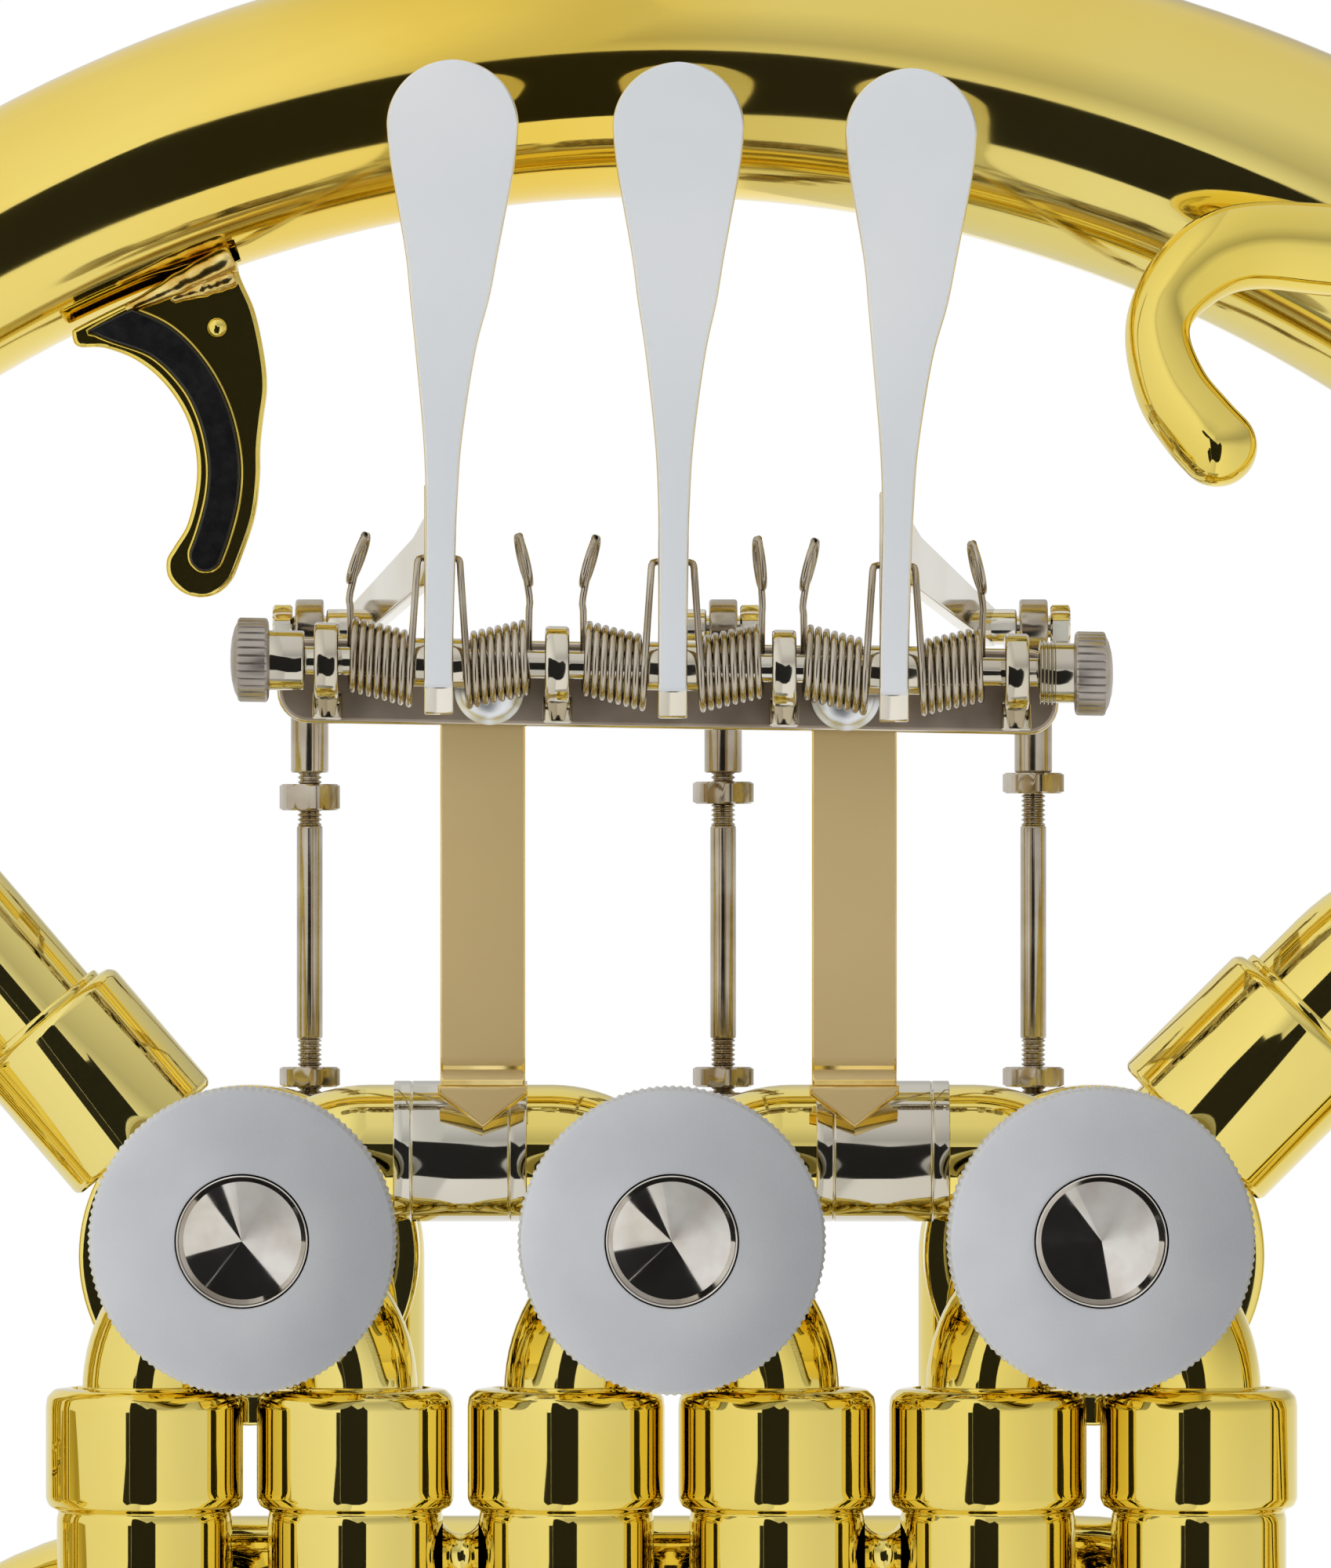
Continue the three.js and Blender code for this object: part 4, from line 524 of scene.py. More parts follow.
# Drawn spring wire and steel rods: brownish, streaky and half bright.
steel = finish("drawn_spring_steel", "spring_steel", "#C6BDAE", "#A99C88", 6, (0.12, 0.2), 3, 0.003)
# Rolled brass strip under thin lacquer: a dull khaki gold.
khaki = finish("lacquered_brass_strip", "khaki_brass", "#EEDAAB", "#E5D09D", 60, (0.72, 0.76), 20, 0.002)
# Its filed edges, which shine.
khaki_edge = finish("filed_brass_edge", "khaki_brass", "#F3DF9E", "#E3C06A", 20, (0.08, 0.14), 6, 0.004)
# Black horn-like plastic let into the thumb hook: nearly black, with a soft gloss.
inlay_black = finish("pressed_black_plastic", "black_inlay", "#100F12", "#09090B",
                     4, (0.22, 0.32), 1.2, 0.02, metal=0.0)
# Neoprene bumpers behind the valves: dull and dark.
rubber = finish("moulded_neoprene", "bumper_rubber", "#35312E", "#26231F",
                3, (0.7, 0.85), 0.6, 0.03, metal=0.0)
print("finishes:", len(bpy.data.materials))

# %% [markdown]
# The three valves stand in a row. A casing is a short wide tube with bent stubs, called
# knuckles, brazed into its side: two run down to the slide, and the others meet the neighbouring
# valve or the slanting tubes at the ends of the row. A knuckle that runs on into the casing is
# pressed out to the casing's inner wall, which joins the two shapes without a boolean cut.

# %% Valve casings
valve_places = (-44, 0, 44)
casing_radius, casing_bore, casing_front, casing_back = 14.2, 12.4, -25.9, 20
leg_reach, link_height, slide_ferrule_top = 11, 8.5, -16.4
knuckle_wall, knuckle_radius, link_radius = 0.9, 6.5, 6.95
inlet_stub_radius, outlet_stub_radius = 6.7, 7.2
stub_angle, leg_root, link_root, end_root = 45, 10, 8, 10
leg_overlap, link_end, end_stub = 3, 17, 11
flange_radius, flange_bore, flange_front, flange_back = 17.9, 13.6, 11, 18.5
flange_shift, flange_drop = 1.011, 2.8


def out_of_casing(points, x):
    """Points nearer a casing's axis than its inner wall move straight out to that wall."""
    across = points[:, [0, 2]] - np.array([x, 0])
    far = np.maximum(np.linalg.norm(across, axis=1, keepdims=True), 1e-6)
    points = points.copy()
    points[:, [0, 2]] = np.array([x, 0]) + across * np.maximum(1, (casing_bore + 0.2) / far)
    return points


def knuckle(x, path, radius):
    """A tube along a path, pressed out to the inner wall of the casing at x."""
    points, faces = tube(path.line(), radius, 56, knuckle_wall)
    return out_of_casing(points, x), faces


def bent_stub(x, start_angle, side, root, offset):
    """From root away from the valve's axis, one bend of 45 degrees. Its radius is
    (offset - root sin 45) / (1 - cos 45), so that it ends offset to the side of the axis."""
    angle = math.radians(stub_angle)
    bend = (offset - root * math.sin(angle)) / (1 - math.cos(angle))
    start = aim(start_angle)
    return Path(x * right + root * start, start).turn(bend, -stub_angle * side, front)


inlet_angle, outlet_angle = 130.5, 45
inlet_aim, outlet_aim = aim(inlet_angle), aim(outlet_angle)
inlet_from = valve_places[0] * right + 2 * aim(inlet_angle + 90)
outlet_from = valve_places[2] * right
wall_profile = [[casing_bore, casing_front], [casing_radius, casing_front],
                [casing_radius, casing_back], [casing_bore, casing_back]]
for i, x in enumerate(valve_places):
    parts = [hollow(wall_profile, 0.3, x * right, deep, 96)]
    for side in (-1, 1):
        leg = bent_stub(x, -90 + stub_angle * side, side, leg_root, leg_reach)
        leg.ahead(leg.at[2] - slide_ferrule_top + leg_overlap)
        parts.append(knuckle(x, leg, knuckle_radius))
        # A thin bead of braze where the knuckle leaves the ferrule below.
        bead_at = spot(x + side * leg_reach, 0, slide_ferrule_top + 0.15)
        parts.append(collar(7.0, 6.3, -0.25, 0.25, bead_at, up, 56, 0.2))
        if 0 <= i + side < len(valve_places):
            link = bent_stub(x, 90 - stub_angle * side, side, link_root, link_height)
            link.ahead(link_end - abs(link.at[0] - x))
            parts.append(knuckle(x, link, link_radius))
    if i == 0:
        stub = Path(inlet_from + end_root * inlet_aim, inlet_aim).ahead(end_stub)
        parts.append(knuckle(x, stub, inlet_stub_radius))
    if i == len(valve_places) - 1:
        stub = Path(outlet_from + end_root * outlet_aim, outlet_aim).ahead(end_stub)
        parts.append(knuckle(x, stub, outlet_stub_radius))
    if i != 1:
        # A wider ring on the back half of the outer casings shows round their caps.
        parts.append(collar(flange_radius, flange_bore, flange_front, flange_back,
                            spot(flange_shift * x, 0, -flange_drop), deep, 96, 0.5))
    piece(f"casing_{i + 1}", parts, gold, stands_for=[f"valve_{i + 1}_casing"])
print("casings:", made)

# %% [markdown]
# Each casing is closed by a screwed cap: a bead-blasted face, a rim knurled so that fingers can
# turn it, and in the middle a polished insert, which is a shallow cone. A cone of 11 degrees
# mirrors the room 22 degrees away from the viewer all round, so half of it shows the dark and
# half the light. The knurl is a wave of the rim's radius, because real teeth show at the edge.
# Each face is also painted lighter on its left and darker on its right, a painted shade of light
# falling from one side. It follows the cap and not the room, so every cap carries its own measure across its
# face.

# %% Valve caps
satin_tree = satin["material"].node_tree
satin_shader = satin_tree.nodes["Principled BSDF"]
satin_colour = satin_shader.inputs["Base Color"].links[0].from_socket
# Painted shade: the satin colour is multiplied by 1.2 at the left edge of each cap, falling to 0.76 at its
# right edge.
painted_shade_across_cap = node(satin_tree, "ShaderNodeAttribute", attribute_name="painted_shade_across_cap").outputs["Fac"]
painted_shade_tone = node(satin_tree, "ShaderNodeMapRange", {"Value": painted_shade_across_cap, "From Min": -1.0, "From Max": 1.0,
                                               "To Min": 1.2, "To Max": 0.76}, clamp=False)
painted_shade_colour = node(satin_tree, "ShaderNodeMixRGB", {"Fac": 1.0, "Color1": satin_colour,
                                              "Color2": painted_shade_tone.outputs["Result"]}, blend_type="MULTIPLY")
satin_tree.links.new(painted_shade_colour.outputs["Color"], satin_shader.inputs["Base Color"])
cap_radius, cap_teeth, tooth = 15.72, 123, 0.1
insert_radius, cone_radius, cone_rise = 6.75, 6.56, 1.36
insert_leans = ((0.01, 0), (0, 0), (0.035, 0))


def knurled(profile, rough_rows, start, axis, teeth, height, steps=6, ring=True, grooves=False):
    """A turned part whose radius on some rows also follows height times a triangle wave, or with
    grooves, stays level and falls by height only in the narrow lows of that wave."""
    count = teeth * steps
    wave = 2 * np.abs(2 * ((np.arange(count) / steps) % 1) - 1) - 1
    wave = height * (np.minimum(wave + 0.3, 0) if grooves else wave)
    rows = np.asarray(rough_rows, float)[:, None] * wave
    return turned(profile, start, axis, count, ring, rows)


face = [[insert_radius + 0.15, -26.3], [insert_radius + 0.15, -27.9], [insert_radius + 0.3, cap_face],
        [15.2, cap_face], [15.42, -27.93], [15.5, -27.8], [cap_radius, -27.5], [cap_radius, -20.6],
        [15.4, -20.2], [14.5, -20.2], [14.5, -26.3]]
face_rough = [0, 0, 0, 0, 0, 0.2, 1, 1, 0, 0, 0]
rim = [[insert_radius, -26.2], [insert_radius, -27.95], [6.72, -28.04], [6.66, -28.08], [6.6, -28.04],
       [cone_radius, -27.95], [cone_radius - 0.02, cap_face + cone_rise]]
slope = np.linspace(cone_radius - 0.05, 0.02, 24)
cone = np.stack([slope, cap_face + cone_rise * slope / cone_radius - 0.02], -1)
insert = np.vstack([[[0.02, -26.4]], rim, cone])
for i, (x, (lean_x, lean_z)) in enumerate(zip(valve_places, insert_leans)):
    item = piece(f"cap_{i + 1}", [knurled(face, face_rough, x * right, deep, cap_teeth, tooth)], satin,
                 stands_for=[f"valve_{i + 1}_cap"])
    place = read(item.data.vertices, "co", np.float32, 3).reshape(-1, 3)
    # Where each point lies across its cap, from -1 on the left to 1 on the right, for the painted shade.
    across = ((place[:, 2] - home[2]) / MM - x) / cap_radius
    measure = item.data.attributes.new("painted_shade_across_cap", "FLOAT", "POINT")
    measure.data.foreach_set("value", across.astype(np.float32))
    lean = unit(deep - lean_x * right - lean_z * up)
    at = x * right + cap_face * (deep - lean)
    piece(f"cap_insert_{i + 1}", [turned(insert, at, lean, 128)], cone_nickel, crease=8)
print("cap face", made["cap_1"], "faces, insert", made["cap_insert_1"])

# %% [markdown]
# Between the valves sit two nickel-silver ferrules. Each is a plain sleeve with one fine turned
# line near each end. Two wider ferrules hold the slanting tubes; under lacquer they look as
# golden as the rest, and they have a small step and a bead at the outer end.

# %% Ferrules at the valves
ferrule_half, ferrule_radius, ferrule_bore = 6.95, 7.35, 6.4


def lined_sleeve(outer, inner, length, start, axis, lines, sides=72, dip=0.14, half=0.25):
    """A sleeve whose outer radius falls by dip and comes back over twice half at each line."""
    profile = [[inner, 0], [outer, 0]]
    for place in lines:
        profile += [[outer, place - half], [outer - dip, place - 0.4 * half],
                    [outer - dip, place + 0.4 * half], [outer, place + half]]
    profile += [[outer, length], [inner, length]]
    return hollow(profile, 0.15, start, axis, sides)


for i, x in enumerate((-22, 22)):
    sleeve = lined_sleeve(ferrule_radius, ferrule_bore, 2 * ferrule_half,
                          spot(x - ferrule_half, 0, link_height), right, (1.85, 12.05), dip=0.07, half=0.14)
    piece(f"link_sleeve_{i + 1}", [sleeve], nickel, stands_for=[f"link_ferrule_{i + 1}"], crease=25)

end_sleeve_start = 14.5
inlet_profile = [[7.0, 0], [8.7, 0], [9.15, 0.5], [9.15, 15.4], [8.6, 16.1], [7.6, 16.3], [7.0, 16.3]]
outlet_profile = [[7.6, 0], [9.5, 0], [10, 0.5], [10, 16.2], [9.4, 16.9], [8.4, 17.1], [7.6, 17.1]]
inlet_bead, outlet_bead = (7.5, 6.75, 16.1, 17.0), (8.8, 8.1, 16.9, 17.9)
for name, start, way, profile, bead in (("inlet", inlet_from, inlet_aim, inlet_profile, inlet_bead),
                                        ("outlet", outlet_from, outlet_aim, outlet_profile, outlet_bead)):
    at = start + end_sleeve_start * way
    piece(f"{name}_sleeve", [hollow(profile, 0.35, at, way, 96), collar(*bead, at, way, 72, 0.35)], gold,
          stands_for=[f"{name}_ferrule"])
print("ferrules done")

# %% [markdown]
# Under each valve hang two outer tubes with thick ferrules, and in them runs the pull-out slide.
# The ferrule is one turned profile: a rounded shoulder on top, a straight wall, and a rounded
# foot that falls into a groove before the tube begins. The slides of the first and third valve
# are long, so their tube goes down, back, up behind the valve, over in a small arch and returns.

# %% Valve slides
sleeve_radius, sleeve_bottom, leg_radius, bow_radius = 9.15, -46, 7.75, 6.5
slide_top, slide_leg, crook_radius, crook_top, crook_bottom = -24, 27.3, 20, -3.7, -51.3
sleeve_profile = [
    [7.0, -16.5], [7.9, -16.15], [9.4, -16.35], [10.15, -17.1], [10.3, -18.1], [10.3, -27.7],
    [9.95, -28.5], [9.2, -28.85], [8.95, -29.1], [9.05, -29.35], [sleeve_radius, -29.9],
    [sleeve_radius, sleeve_bottom + 0.3], [sleeve_radius - 0.3, sleeve_bottom],
    [leg_radius + 0.3, sleeve_bottom], [leg_radius + 0.3, -22.4], [7.0, -22.4]]
foot_ring = [[6.6, -51.4], [7.2, -51.2], [9.15, -49.6], [9.15, -46.4], [7.7, -46.3], [6.6, -46.3]]


def from_ends(line):
    """The distance of each point from the nearer end of a line."""
    along = places(line)
    return np.minimum(along, along[-1] - along)


def slide_path(x, is_long):
    """Down the left leg, and back up the right one. A short slide has one bow between them, a
    long one goes back and up behind the valve, over in an arch and down again."""
    path = Path(spot(x - leg_reach, 0, slide_top), down).ahead(slide_leg)
    if not is_long:
        return path.turn(leg_reach, 180, front).ahead(slide_leg)
    path.turn(crook_radius, 180, right).ahead(crook_top - path.at[2])
    path.turn(leg_reach, 180, deep).ahead(path.at[2] - crook_bottom)
    return path.turn(crook_radius, 180, left).ahead(slide_leg)


for i, x in enumerate(valve_places):
    legs = [spot(x + side * leg_reach, 0, 0) for side in (-1, 1)]
    outer = [hollow(sleeve_profile, 0.25, at, up, 96) for at in legs]
    outer.append(rod(1.6, -2.6, 2.6, spot(x, 0, -43), right))
    piece(f"slide_tubes_{i + 1}", outer, gold, stands_for=[f"slide_{i + 1}_sleeves"])
    line = slide_path(x, i != 1).line()
    radius = np.interp(from_ends(line), [23.5, 25.5], [leg_radius, bow_radius])
    parts = [tube(line, radius, 56, 0.8)] + [hollow(foot_ring, 0.5, at, up, 72) for at in legs]
    piece(f"pull_slide_{i + 1}", parts, gold, body=f"slide_{i + 1}", stands_for=[f"slide_{i + 1}"])
print("slides done")

# %% [markdown]
# Small round stays with cup-shaped feet brace the neighbouring slides. From the front they show
# as dark round ends between the gold walls.

# %% Stays between the slides
def footed_stay(radius, start, end, foot=2.0):
    """A bar that flares at both ends: radius + foot (1 - s/2)^3 over the last two millimetres."""
    length = np.linalg.norm(end - start)
    s = np.linspace(0, 2, 7)
    flare = radius + foot * (1 - s / 2) ** 3
    first, last = np.stack([flare, s], -1), np.stack([flare[::-1], length - s[::-1]], -1)
    profile = np.vstack([[[0.02, 0]], first, last, [[0.02, length]]])
    return turned(profile, start, end - start, 40)


stay_height, stay_half = -33.5, 1.85
for i, x in enumerate((-22, 22)):
    stay = footed_stay(2.1, spot(x - stay_half, 0, stay_height), spot(x + stay_half, 0, stay_height), 1.2)
    piece(f"slide_stay_{i + 1}", [stay], gold)
print("stays done")

# %% [markdown]
# The big tube, the bell branch, is one sheet of brass rolled, soldered and drawn over a taper,
# then bent round the valves. Its centre line is a circle in the picture plane; past the level
# of its centre on the right it also eases inwards and back to where the bell starts. So the
# surface is a function of the angle round the ring and the angle round the tube.

# %% Bell branch
ring_x, ring_z, ring_radius = 1.6, -27.0, 149.6
ring_depth, ring_drop, ring_tuck = 12, 33, 11.6
ring_start, ring_end = 205, -90
pipe_wall = 0.7
ring_middle = spot(ring_x, ring_depth, ring_z)


def branch_radius(angle):
    """8.5 + 14.5 (0.63 t + 1.27 t^2 - 0.9 t^3), where t is the share of the way round."""
    t = (ring_start - angle) / (ring_start - ring_end)
    return 8.5 + 14.5 * (0.63 * t + 1.27 * t ** 2 - 0.9 * t ** 3)


def branch_line(angle):
    """Centre + radius (cos, sin), with the radius tucked in and the depth eased after 0 degrees."""
    late = ease(np.clip(-angle / 90, 0, 1))
    reach = (ring_radius - ring_tuck * late)[:, None] * aim(angle)
    return ring_middle + reach + (ring_drop * late)[:, None] * deep


angle = np.linspace(ring_start, ring_end, 200)
big_tube = tube(branch_line(angle), branch_radius(angle), 112, pipe_wall)
piece("big_branch", [big_tube], branch_gold, stands_for=["bell_branch"])
print("big tube", made["big_branch"], "faces")

# %% [markdown]
# The bell is spun and hammered from sheet. Its radius falls with the distance from the rim as a
# power law, which is the shape of most brass bells, and the rim is rolled over a wire. The horn
# stands on that rim, so the bell points down in the frame and left in the photograph.

# %% Bell
bell_z = ring_z - (ring_radius - ring_tuck)
bell_start = spot(ring_x - 0.3, ring_depth + ring_drop, bell_z)
rim_radius, throat_radius, flare_power = 155, 23, 0.65
rim_place, neck_length = 399.8, 16
bell_wall, rim_wire_radius = 0.75, 1.6
flare_length = rim_place - neck_length
ratio = (throat_radius / rim_radius) ** (1 / flare_power)
flare_start = flare_length * ratio / (1 - ratio)
from_rim = flare_length * np.linspace(1, 0, 90) ** 2.4
flare = rim_radius * (flare_start / (from_rim + flare_start)) ** flare_power
outer_bell = np.vstack([[[throat_radius, 0]], np.stack([flare, rim_place - from_rim], -1)])
steps = unit(np.gradient(outer_bell, axis=0))
inner_bell = (outer_bell + bell_wall * np.stack([-steps[:, 1], steps[:, 0]], -1))[:-4]
rim_wire = arc((rim_radius - rim_wire_radius, rim_place + 0.6), rim_wire_radius, -40, 180, 14)
bell_profile = np.vstack([outer_bell[:-2], rim_wire, inner_bell[::-1]])
piece("bell_flare", [turned(bell_profile, bell_start, left, 200, ring=True)], gold, stands_for=["bell"],
      crease=50)
bell_sleeve = lined_sleeve(24.1, 23.3, 15.4, bell_start + 0.3 * left, left, (1.6, 2.6, 12.8, 13.8), 112)
piece("bell_sleeve", [bell_sleeve], nickel, stands_for=["bell_ferrule"], crease=25)
print("bell", made["bell_flare"], "faces")

# %% [markdown]
# The first branch runs from the last valve to the big tube: down the right side, left under the
# slides, once round in a coil, and on to the left. It is one pipe bent on formers, so it is one
# path here, and its last bend is worked out from the height that it still has to climb.

# %% First branch
pipe_start = 21.1
corner_radius, side_place, coil_radius, coil_depth = 17, 100, 40, 44
branch_from, branch_to = 8.05, 8.5
joint_at = ring_middle + ring_radius * aim(ring_start)


def first_branch_line():
    """Out along the outlet, over and down the side, left, once round the coil, and on to the
    big tube. The last bend turns by b and climbs h, so its radius is h / (1 - cos b)."""
    path = Path(outlet_from + pipe_start * outlet_aim, outlet_aim)
    tilt = math.radians(outlet_angle)
    turn_x = side_place - corner_radius * (1 + math.sin(tilt))
    path.ahead((turn_x - path.at[0]) / math.cos(tilt)).sweep(corner_radius, -135)
    side_end = spot(side_place, 22, -65)
    path.glide(side_end, down, (path.at[2] - side_end[2]) / 3).sweep(54, -90)
    path.ahead(path.at[0] + 50).sweep(coil_radius, -180).ahead(92).sweep(coil_radius, -180, 22)
    last_turn = ring_start - 270
    bend = math.radians(last_turn)
    last_radius = (joint_at[2] - path.at[2]) / (1 - math.cos(bend))
    path.ahead(path.at[0] - joint_at[0] + last_radius * math.sin(bend))
    return path.sweep(last_radius, last_turn, ring_depth - coil_depth).line()


line = first_branch_line()
parts = [tube(line, tapered(line, branch_from, branch_to), 64, pipe_wall),
         collar(9.3, 8.45, -5, 0, joint_at, aim(ring_start - 90), 64, 0.4)]
piece("first_branch_tube", parts, gold, stands_for=["first_branch"])
print("first branch", round(places(line)[-1]), "mm long")

# %% [markdown]
# The leadpipe starts at the mouthpiece, runs straight to the big tube, follows it round behind,
# and drops to the main tuning slide. From the slide another pipe climbs to the first valve.

# %% Leadpipe, receiver and mouthpiece
lead_angle, settle_angle, lead_length, drop_radius = 17, 60, 165, 50
lead_radius, lead_room = 6.5, 2.5
lead_aim = aim(lead_angle + 90)
tuning_places, tuning_end = (-130, -108), 14


def lead_depth(at_angle):
    """Behind the big tube: its depth and radius, the pipe's own radius and some room."""
    return ring_depth + branch_radius(at_angle) + lead_radius + lead_room


drop_angle = math.degrees(math.acos((tuning_places[0] - ring_x + drop_radius) / (ring_radius - drop_radius)))
tuning_depth = lead_depth(drop_angle)
lead_start = spot(ring_x, 0, ring_z) + ring_radius * aim(lead_angle) - lead_length * lead_aim
lead_start = lead_start + lead_depth(lead_angle) * deep
path = Path(lead_start, lead_aim).ahead(lead_length)
path.sweep(ring_radius, settle_angle - lead_angle, lead_depth(settle_angle) - lead_depth(lead_angle))
path.sweep(ring_radius, drop_angle - settle_angle, tuning_depth - lead_depth(settle_angle))
path.sweep(drop_radius, 180 - drop_angle)
line = path.ahead(path.at[2] - tuning_end).line()
lead_radii = np.interp(places(line), [0, lead_length], [4.8, lead_radius])
piece("lead_pipe", [tube(line, lead_radii, 48, pipe_wall)], gold, stands_for=["leadpipe"])

seat = lead_start + 14 * lead_aim
receiver = [[5.4, 0], [6.2, 0], [6.3, 30], [7.2, 44.5], [7.6, 45], [7.2, 46], [4.0, 46], [4.0, 14.3],
            [5.4, 14.3]]
piece("mouthpiece_receiver", [hollow(receiver, 0.4, seat, -lead_aim)], nickel, stands_for=["receiver"])
cup_outer = smooth([[3.7, 24], [3.7, 46], [4.5, 48.5], [4.75, 60], [5.6, 68], [8.6, 76], [11.2, 83],
                    [12.0, 86]], 6)
rim_curve = smooth([[12.6, 88], [12.0, 89.7], [10.6, 90], [9.2, 89.2]], 5)
cup_inner = smooth([[8.6, 87.4], [7.4, 80], [4.4, 74], [2.4, 68], [2.3, 60], [2.5, 40], [3.2, 24]], 5)
mouthpiece = turned(np.vstack([cup_outer, rim_curve, cup_inner]), seat, -lead_aim, 72, ring=True)
piece("mouthpiece_cup", [mouthpiece], nickel, body="mouthpiece", stands_for=["mouthpiece"], crease=50)
print("leadpipe", round(places(line)[-1]), "mm")

# %% [markdown]
# The main tuning slide tunes the whole horn. Two fixed tubes stand side by side: the leadpipe
# ends in the left one, and a pipe from the right one climbs to the first valve. A bow with two
# legs slides in them. The pipes are paths again, and the tubes and their rings are turned.

# %% Main tuning slide and inlet tube
inlet_radius, turn_radius = 6.7, 18.75
path = Path(inlet_from + pipe_start * inlet_aim, inlet_aim)
tilt = math.radians(inlet_angle)
turn_x = tuning_places[1] + turn_radius * (1 + math.sin(tilt))
path.ahead((turn_x - path.at[0]) / math.cos(tilt)).sweep(turn_radius, 270 - inlet_angle, tuning_depth)
inlet_line = path.ahead(path.at[2] - tuning_end).line()
piece("inlet_pipe", [tube(inlet_line, inlet_radius, 48, pipe_wall)], gold, stands_for=["valve_inlet_tube"])

tuning_profile = [[7.0, 20], [8.0, 20.1], [9.0, 19.2], [9.1, 15.5], [8.1, 14.6], [8.1, -24.5], [9.0, -25.2],
                  [9.0, -27.6], [8.1, -28], [7.2, -28], [7.2, 13.7], [7.0, 13.7]]
tuning_feet = [spot(x, tuning_depth, 0) for x in tuning_places]
parts = [hollow(tuning_profile, 0.35, at, up) for at in tuning_feet]
for height in (12, -21):
    start, end = (at + height * up for at in tuning_feet)
    parts.append(footed_stay(1.6, start + 8 * right, end - 8 * right, 1.4))
piece("tuning_tubes", parts, gold, stands_for=["tuning_sleeves"])

path = Path(spot(tuning_places[0], tuning_depth, 4), down).ahead(37.3)
line = path.turn(11, 180, front).ahead(37.3).line()
bow_ring = [[6.5, -33.3], [7.2, -33.1], [8.2, -31.6], [8.2, -28.4], [6.8, -28.3], [6.5, -28.3]]
parts = [tube(line, np.where(from_ends(line) < 33, 6.9, 6.6), 56, pipe_wall)]
parts += [hollow(bow_ring, 0.4, at, up) for at in tuning_feet]
piece("main_tuning_slide", parts, gold, body="tuning_slide", stands_for=["tuning_slide"])
print("tuning slide done")

# %% [markdown]
# Two longer stays hold the first branch: one to the side of the big tube, one to the bell. Each
# ends on the round wall of one of those, and that end is worked out from the wall's own formula.

# %% Long stays
side_z = -45
side_angle = -math.degrees(math.asin((ring_z - side_z) / ring_radius))
share = ease(-side_angle / 90)
side_depth = ring_depth + ring_drop * share
side_reach = ring_radius - ring_tuck * share - branch_radius(side_angle)
side_end = ring_x + math.sqrt(side_reach ** 2 - (ring_z - side_z) ** 2)
side_stay = footed_stay(2, spot(108.2, side_depth, side_z), spot(side_end + 0.2, side_depth, side_z), 2.2)
piece("long_side_stay", [side_stay], gold, stands_for=["branch_stay"])
stay_x = -40
at_bell = np.interp(bell_start[0] - stay_x, outer_bell[:, 1], outer_bell[:, 0])
bell_stay = footed_stay(2, spot(stay_x, coil_depth, bell_z + at_bell - 0.3),
                        spot(stay_x, coil_depth, -119 - 8.2), 2.2)
piece("long_bell_stay", [bell_stay], gold, stands_for=["bell_stay"])

# %% [markdown]
# Behind each valve its rotor comes out through a bearing. A stop arm sits on the end of the
# shaft, the pushrod takes hold of its ball, and a rubber bumper stops its tail. These show from
# behind, so they get turned and plate shapes; the rotors inside keep their CAD shape.

# %% Behind the valves
pin_radius, pin_angle, rod_depth, ball_radius = 6.5, 45, 28, 1.3
bearing = [[3.3, 17], [12.1, 17], [12.1, 20.3], [14.2, 20.3], [14.2, 21.8], [8.6, 21.8], [8.2, 21.4],
           [5.0, 21.4], [4.5, 22.6], [3.3, 22.6]]
arm = smooth(np.vstack([arc((pin_radius, 0), 2.2, -70, 70, 8), arc((0, 0), 4.4, 60, 120, 6),
                        arc((-7.6, 0), 1.6, 110, 250, 8), arc((0, 0), 4.4, 240, 300, 6)]), 3, closed=True)
end_screw = eased([[0.05, 25.3], [2.6, 25.3], [2.6, 25.7], [1.6, 26.3], [0.05, 26.3]], 0.15)
ball = arc((0, rod_depth), ball_radius, -88, 88, 13)
for i, x in enumerate(valve_places):
    # The arm and the bumper of the third valve are mirrored.
    toward, middle = (180 - pin_angle, 0) if i == 2 else (pin_angle, 180)
    piece(f"bearing_{i + 1}", [hollow(bearing, 0.3, x * right, deep, 80)], nickel,
          stands_for=[f"valve_{i + 1}_bearing"])
    turn = np.radians(toward)
    outline = np.stack([x + arm[:, 0] * np.cos(turn) - arm[:, 1] * np.sin(turn),
                        arm[:, 0] * np.sin(turn) + arm[:, 1] * np.cos(turn)], -1)
    pin = x * right + pin_radius * aim(toward)
    parts = [plate(outline, 22.9, 25.4, 0.35, facing), rod(0.8, 25.2, 27.4, pin, deep),
             turned(ball, pin, deep, 24), turned(end_screw, x * right, deep, 40)]
    piece(f"stop_arm_{i + 1}", parts, nickel, body=f"rotor_{i + 1}",
          stands_for=[f"valve_{i + 1}_stop_arm"])
    bumper = np.vstack([
        arc((x, 0), 13, middle - 80, middle + 80, 40), arc((x, 0), 7.2, middle + 79, middle + 69, 5),
        arc((x, 0), 10.8, middle + 66, middle - 66, 30), arc((x, 0), 7.2, middle - 69, middle - 79, 5)])
    piece(f"bumper_{i + 1}", [plate(bumper, 22.1, 25.1, 0.3, facing)], rubber,
          stands_for=[f"valve_{i + 1}_bumper"])
    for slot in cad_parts[f"valve_{i + 1}_rotor"].material_slots:
        slot.material = nickel["material"]
print("backs of the valves done")

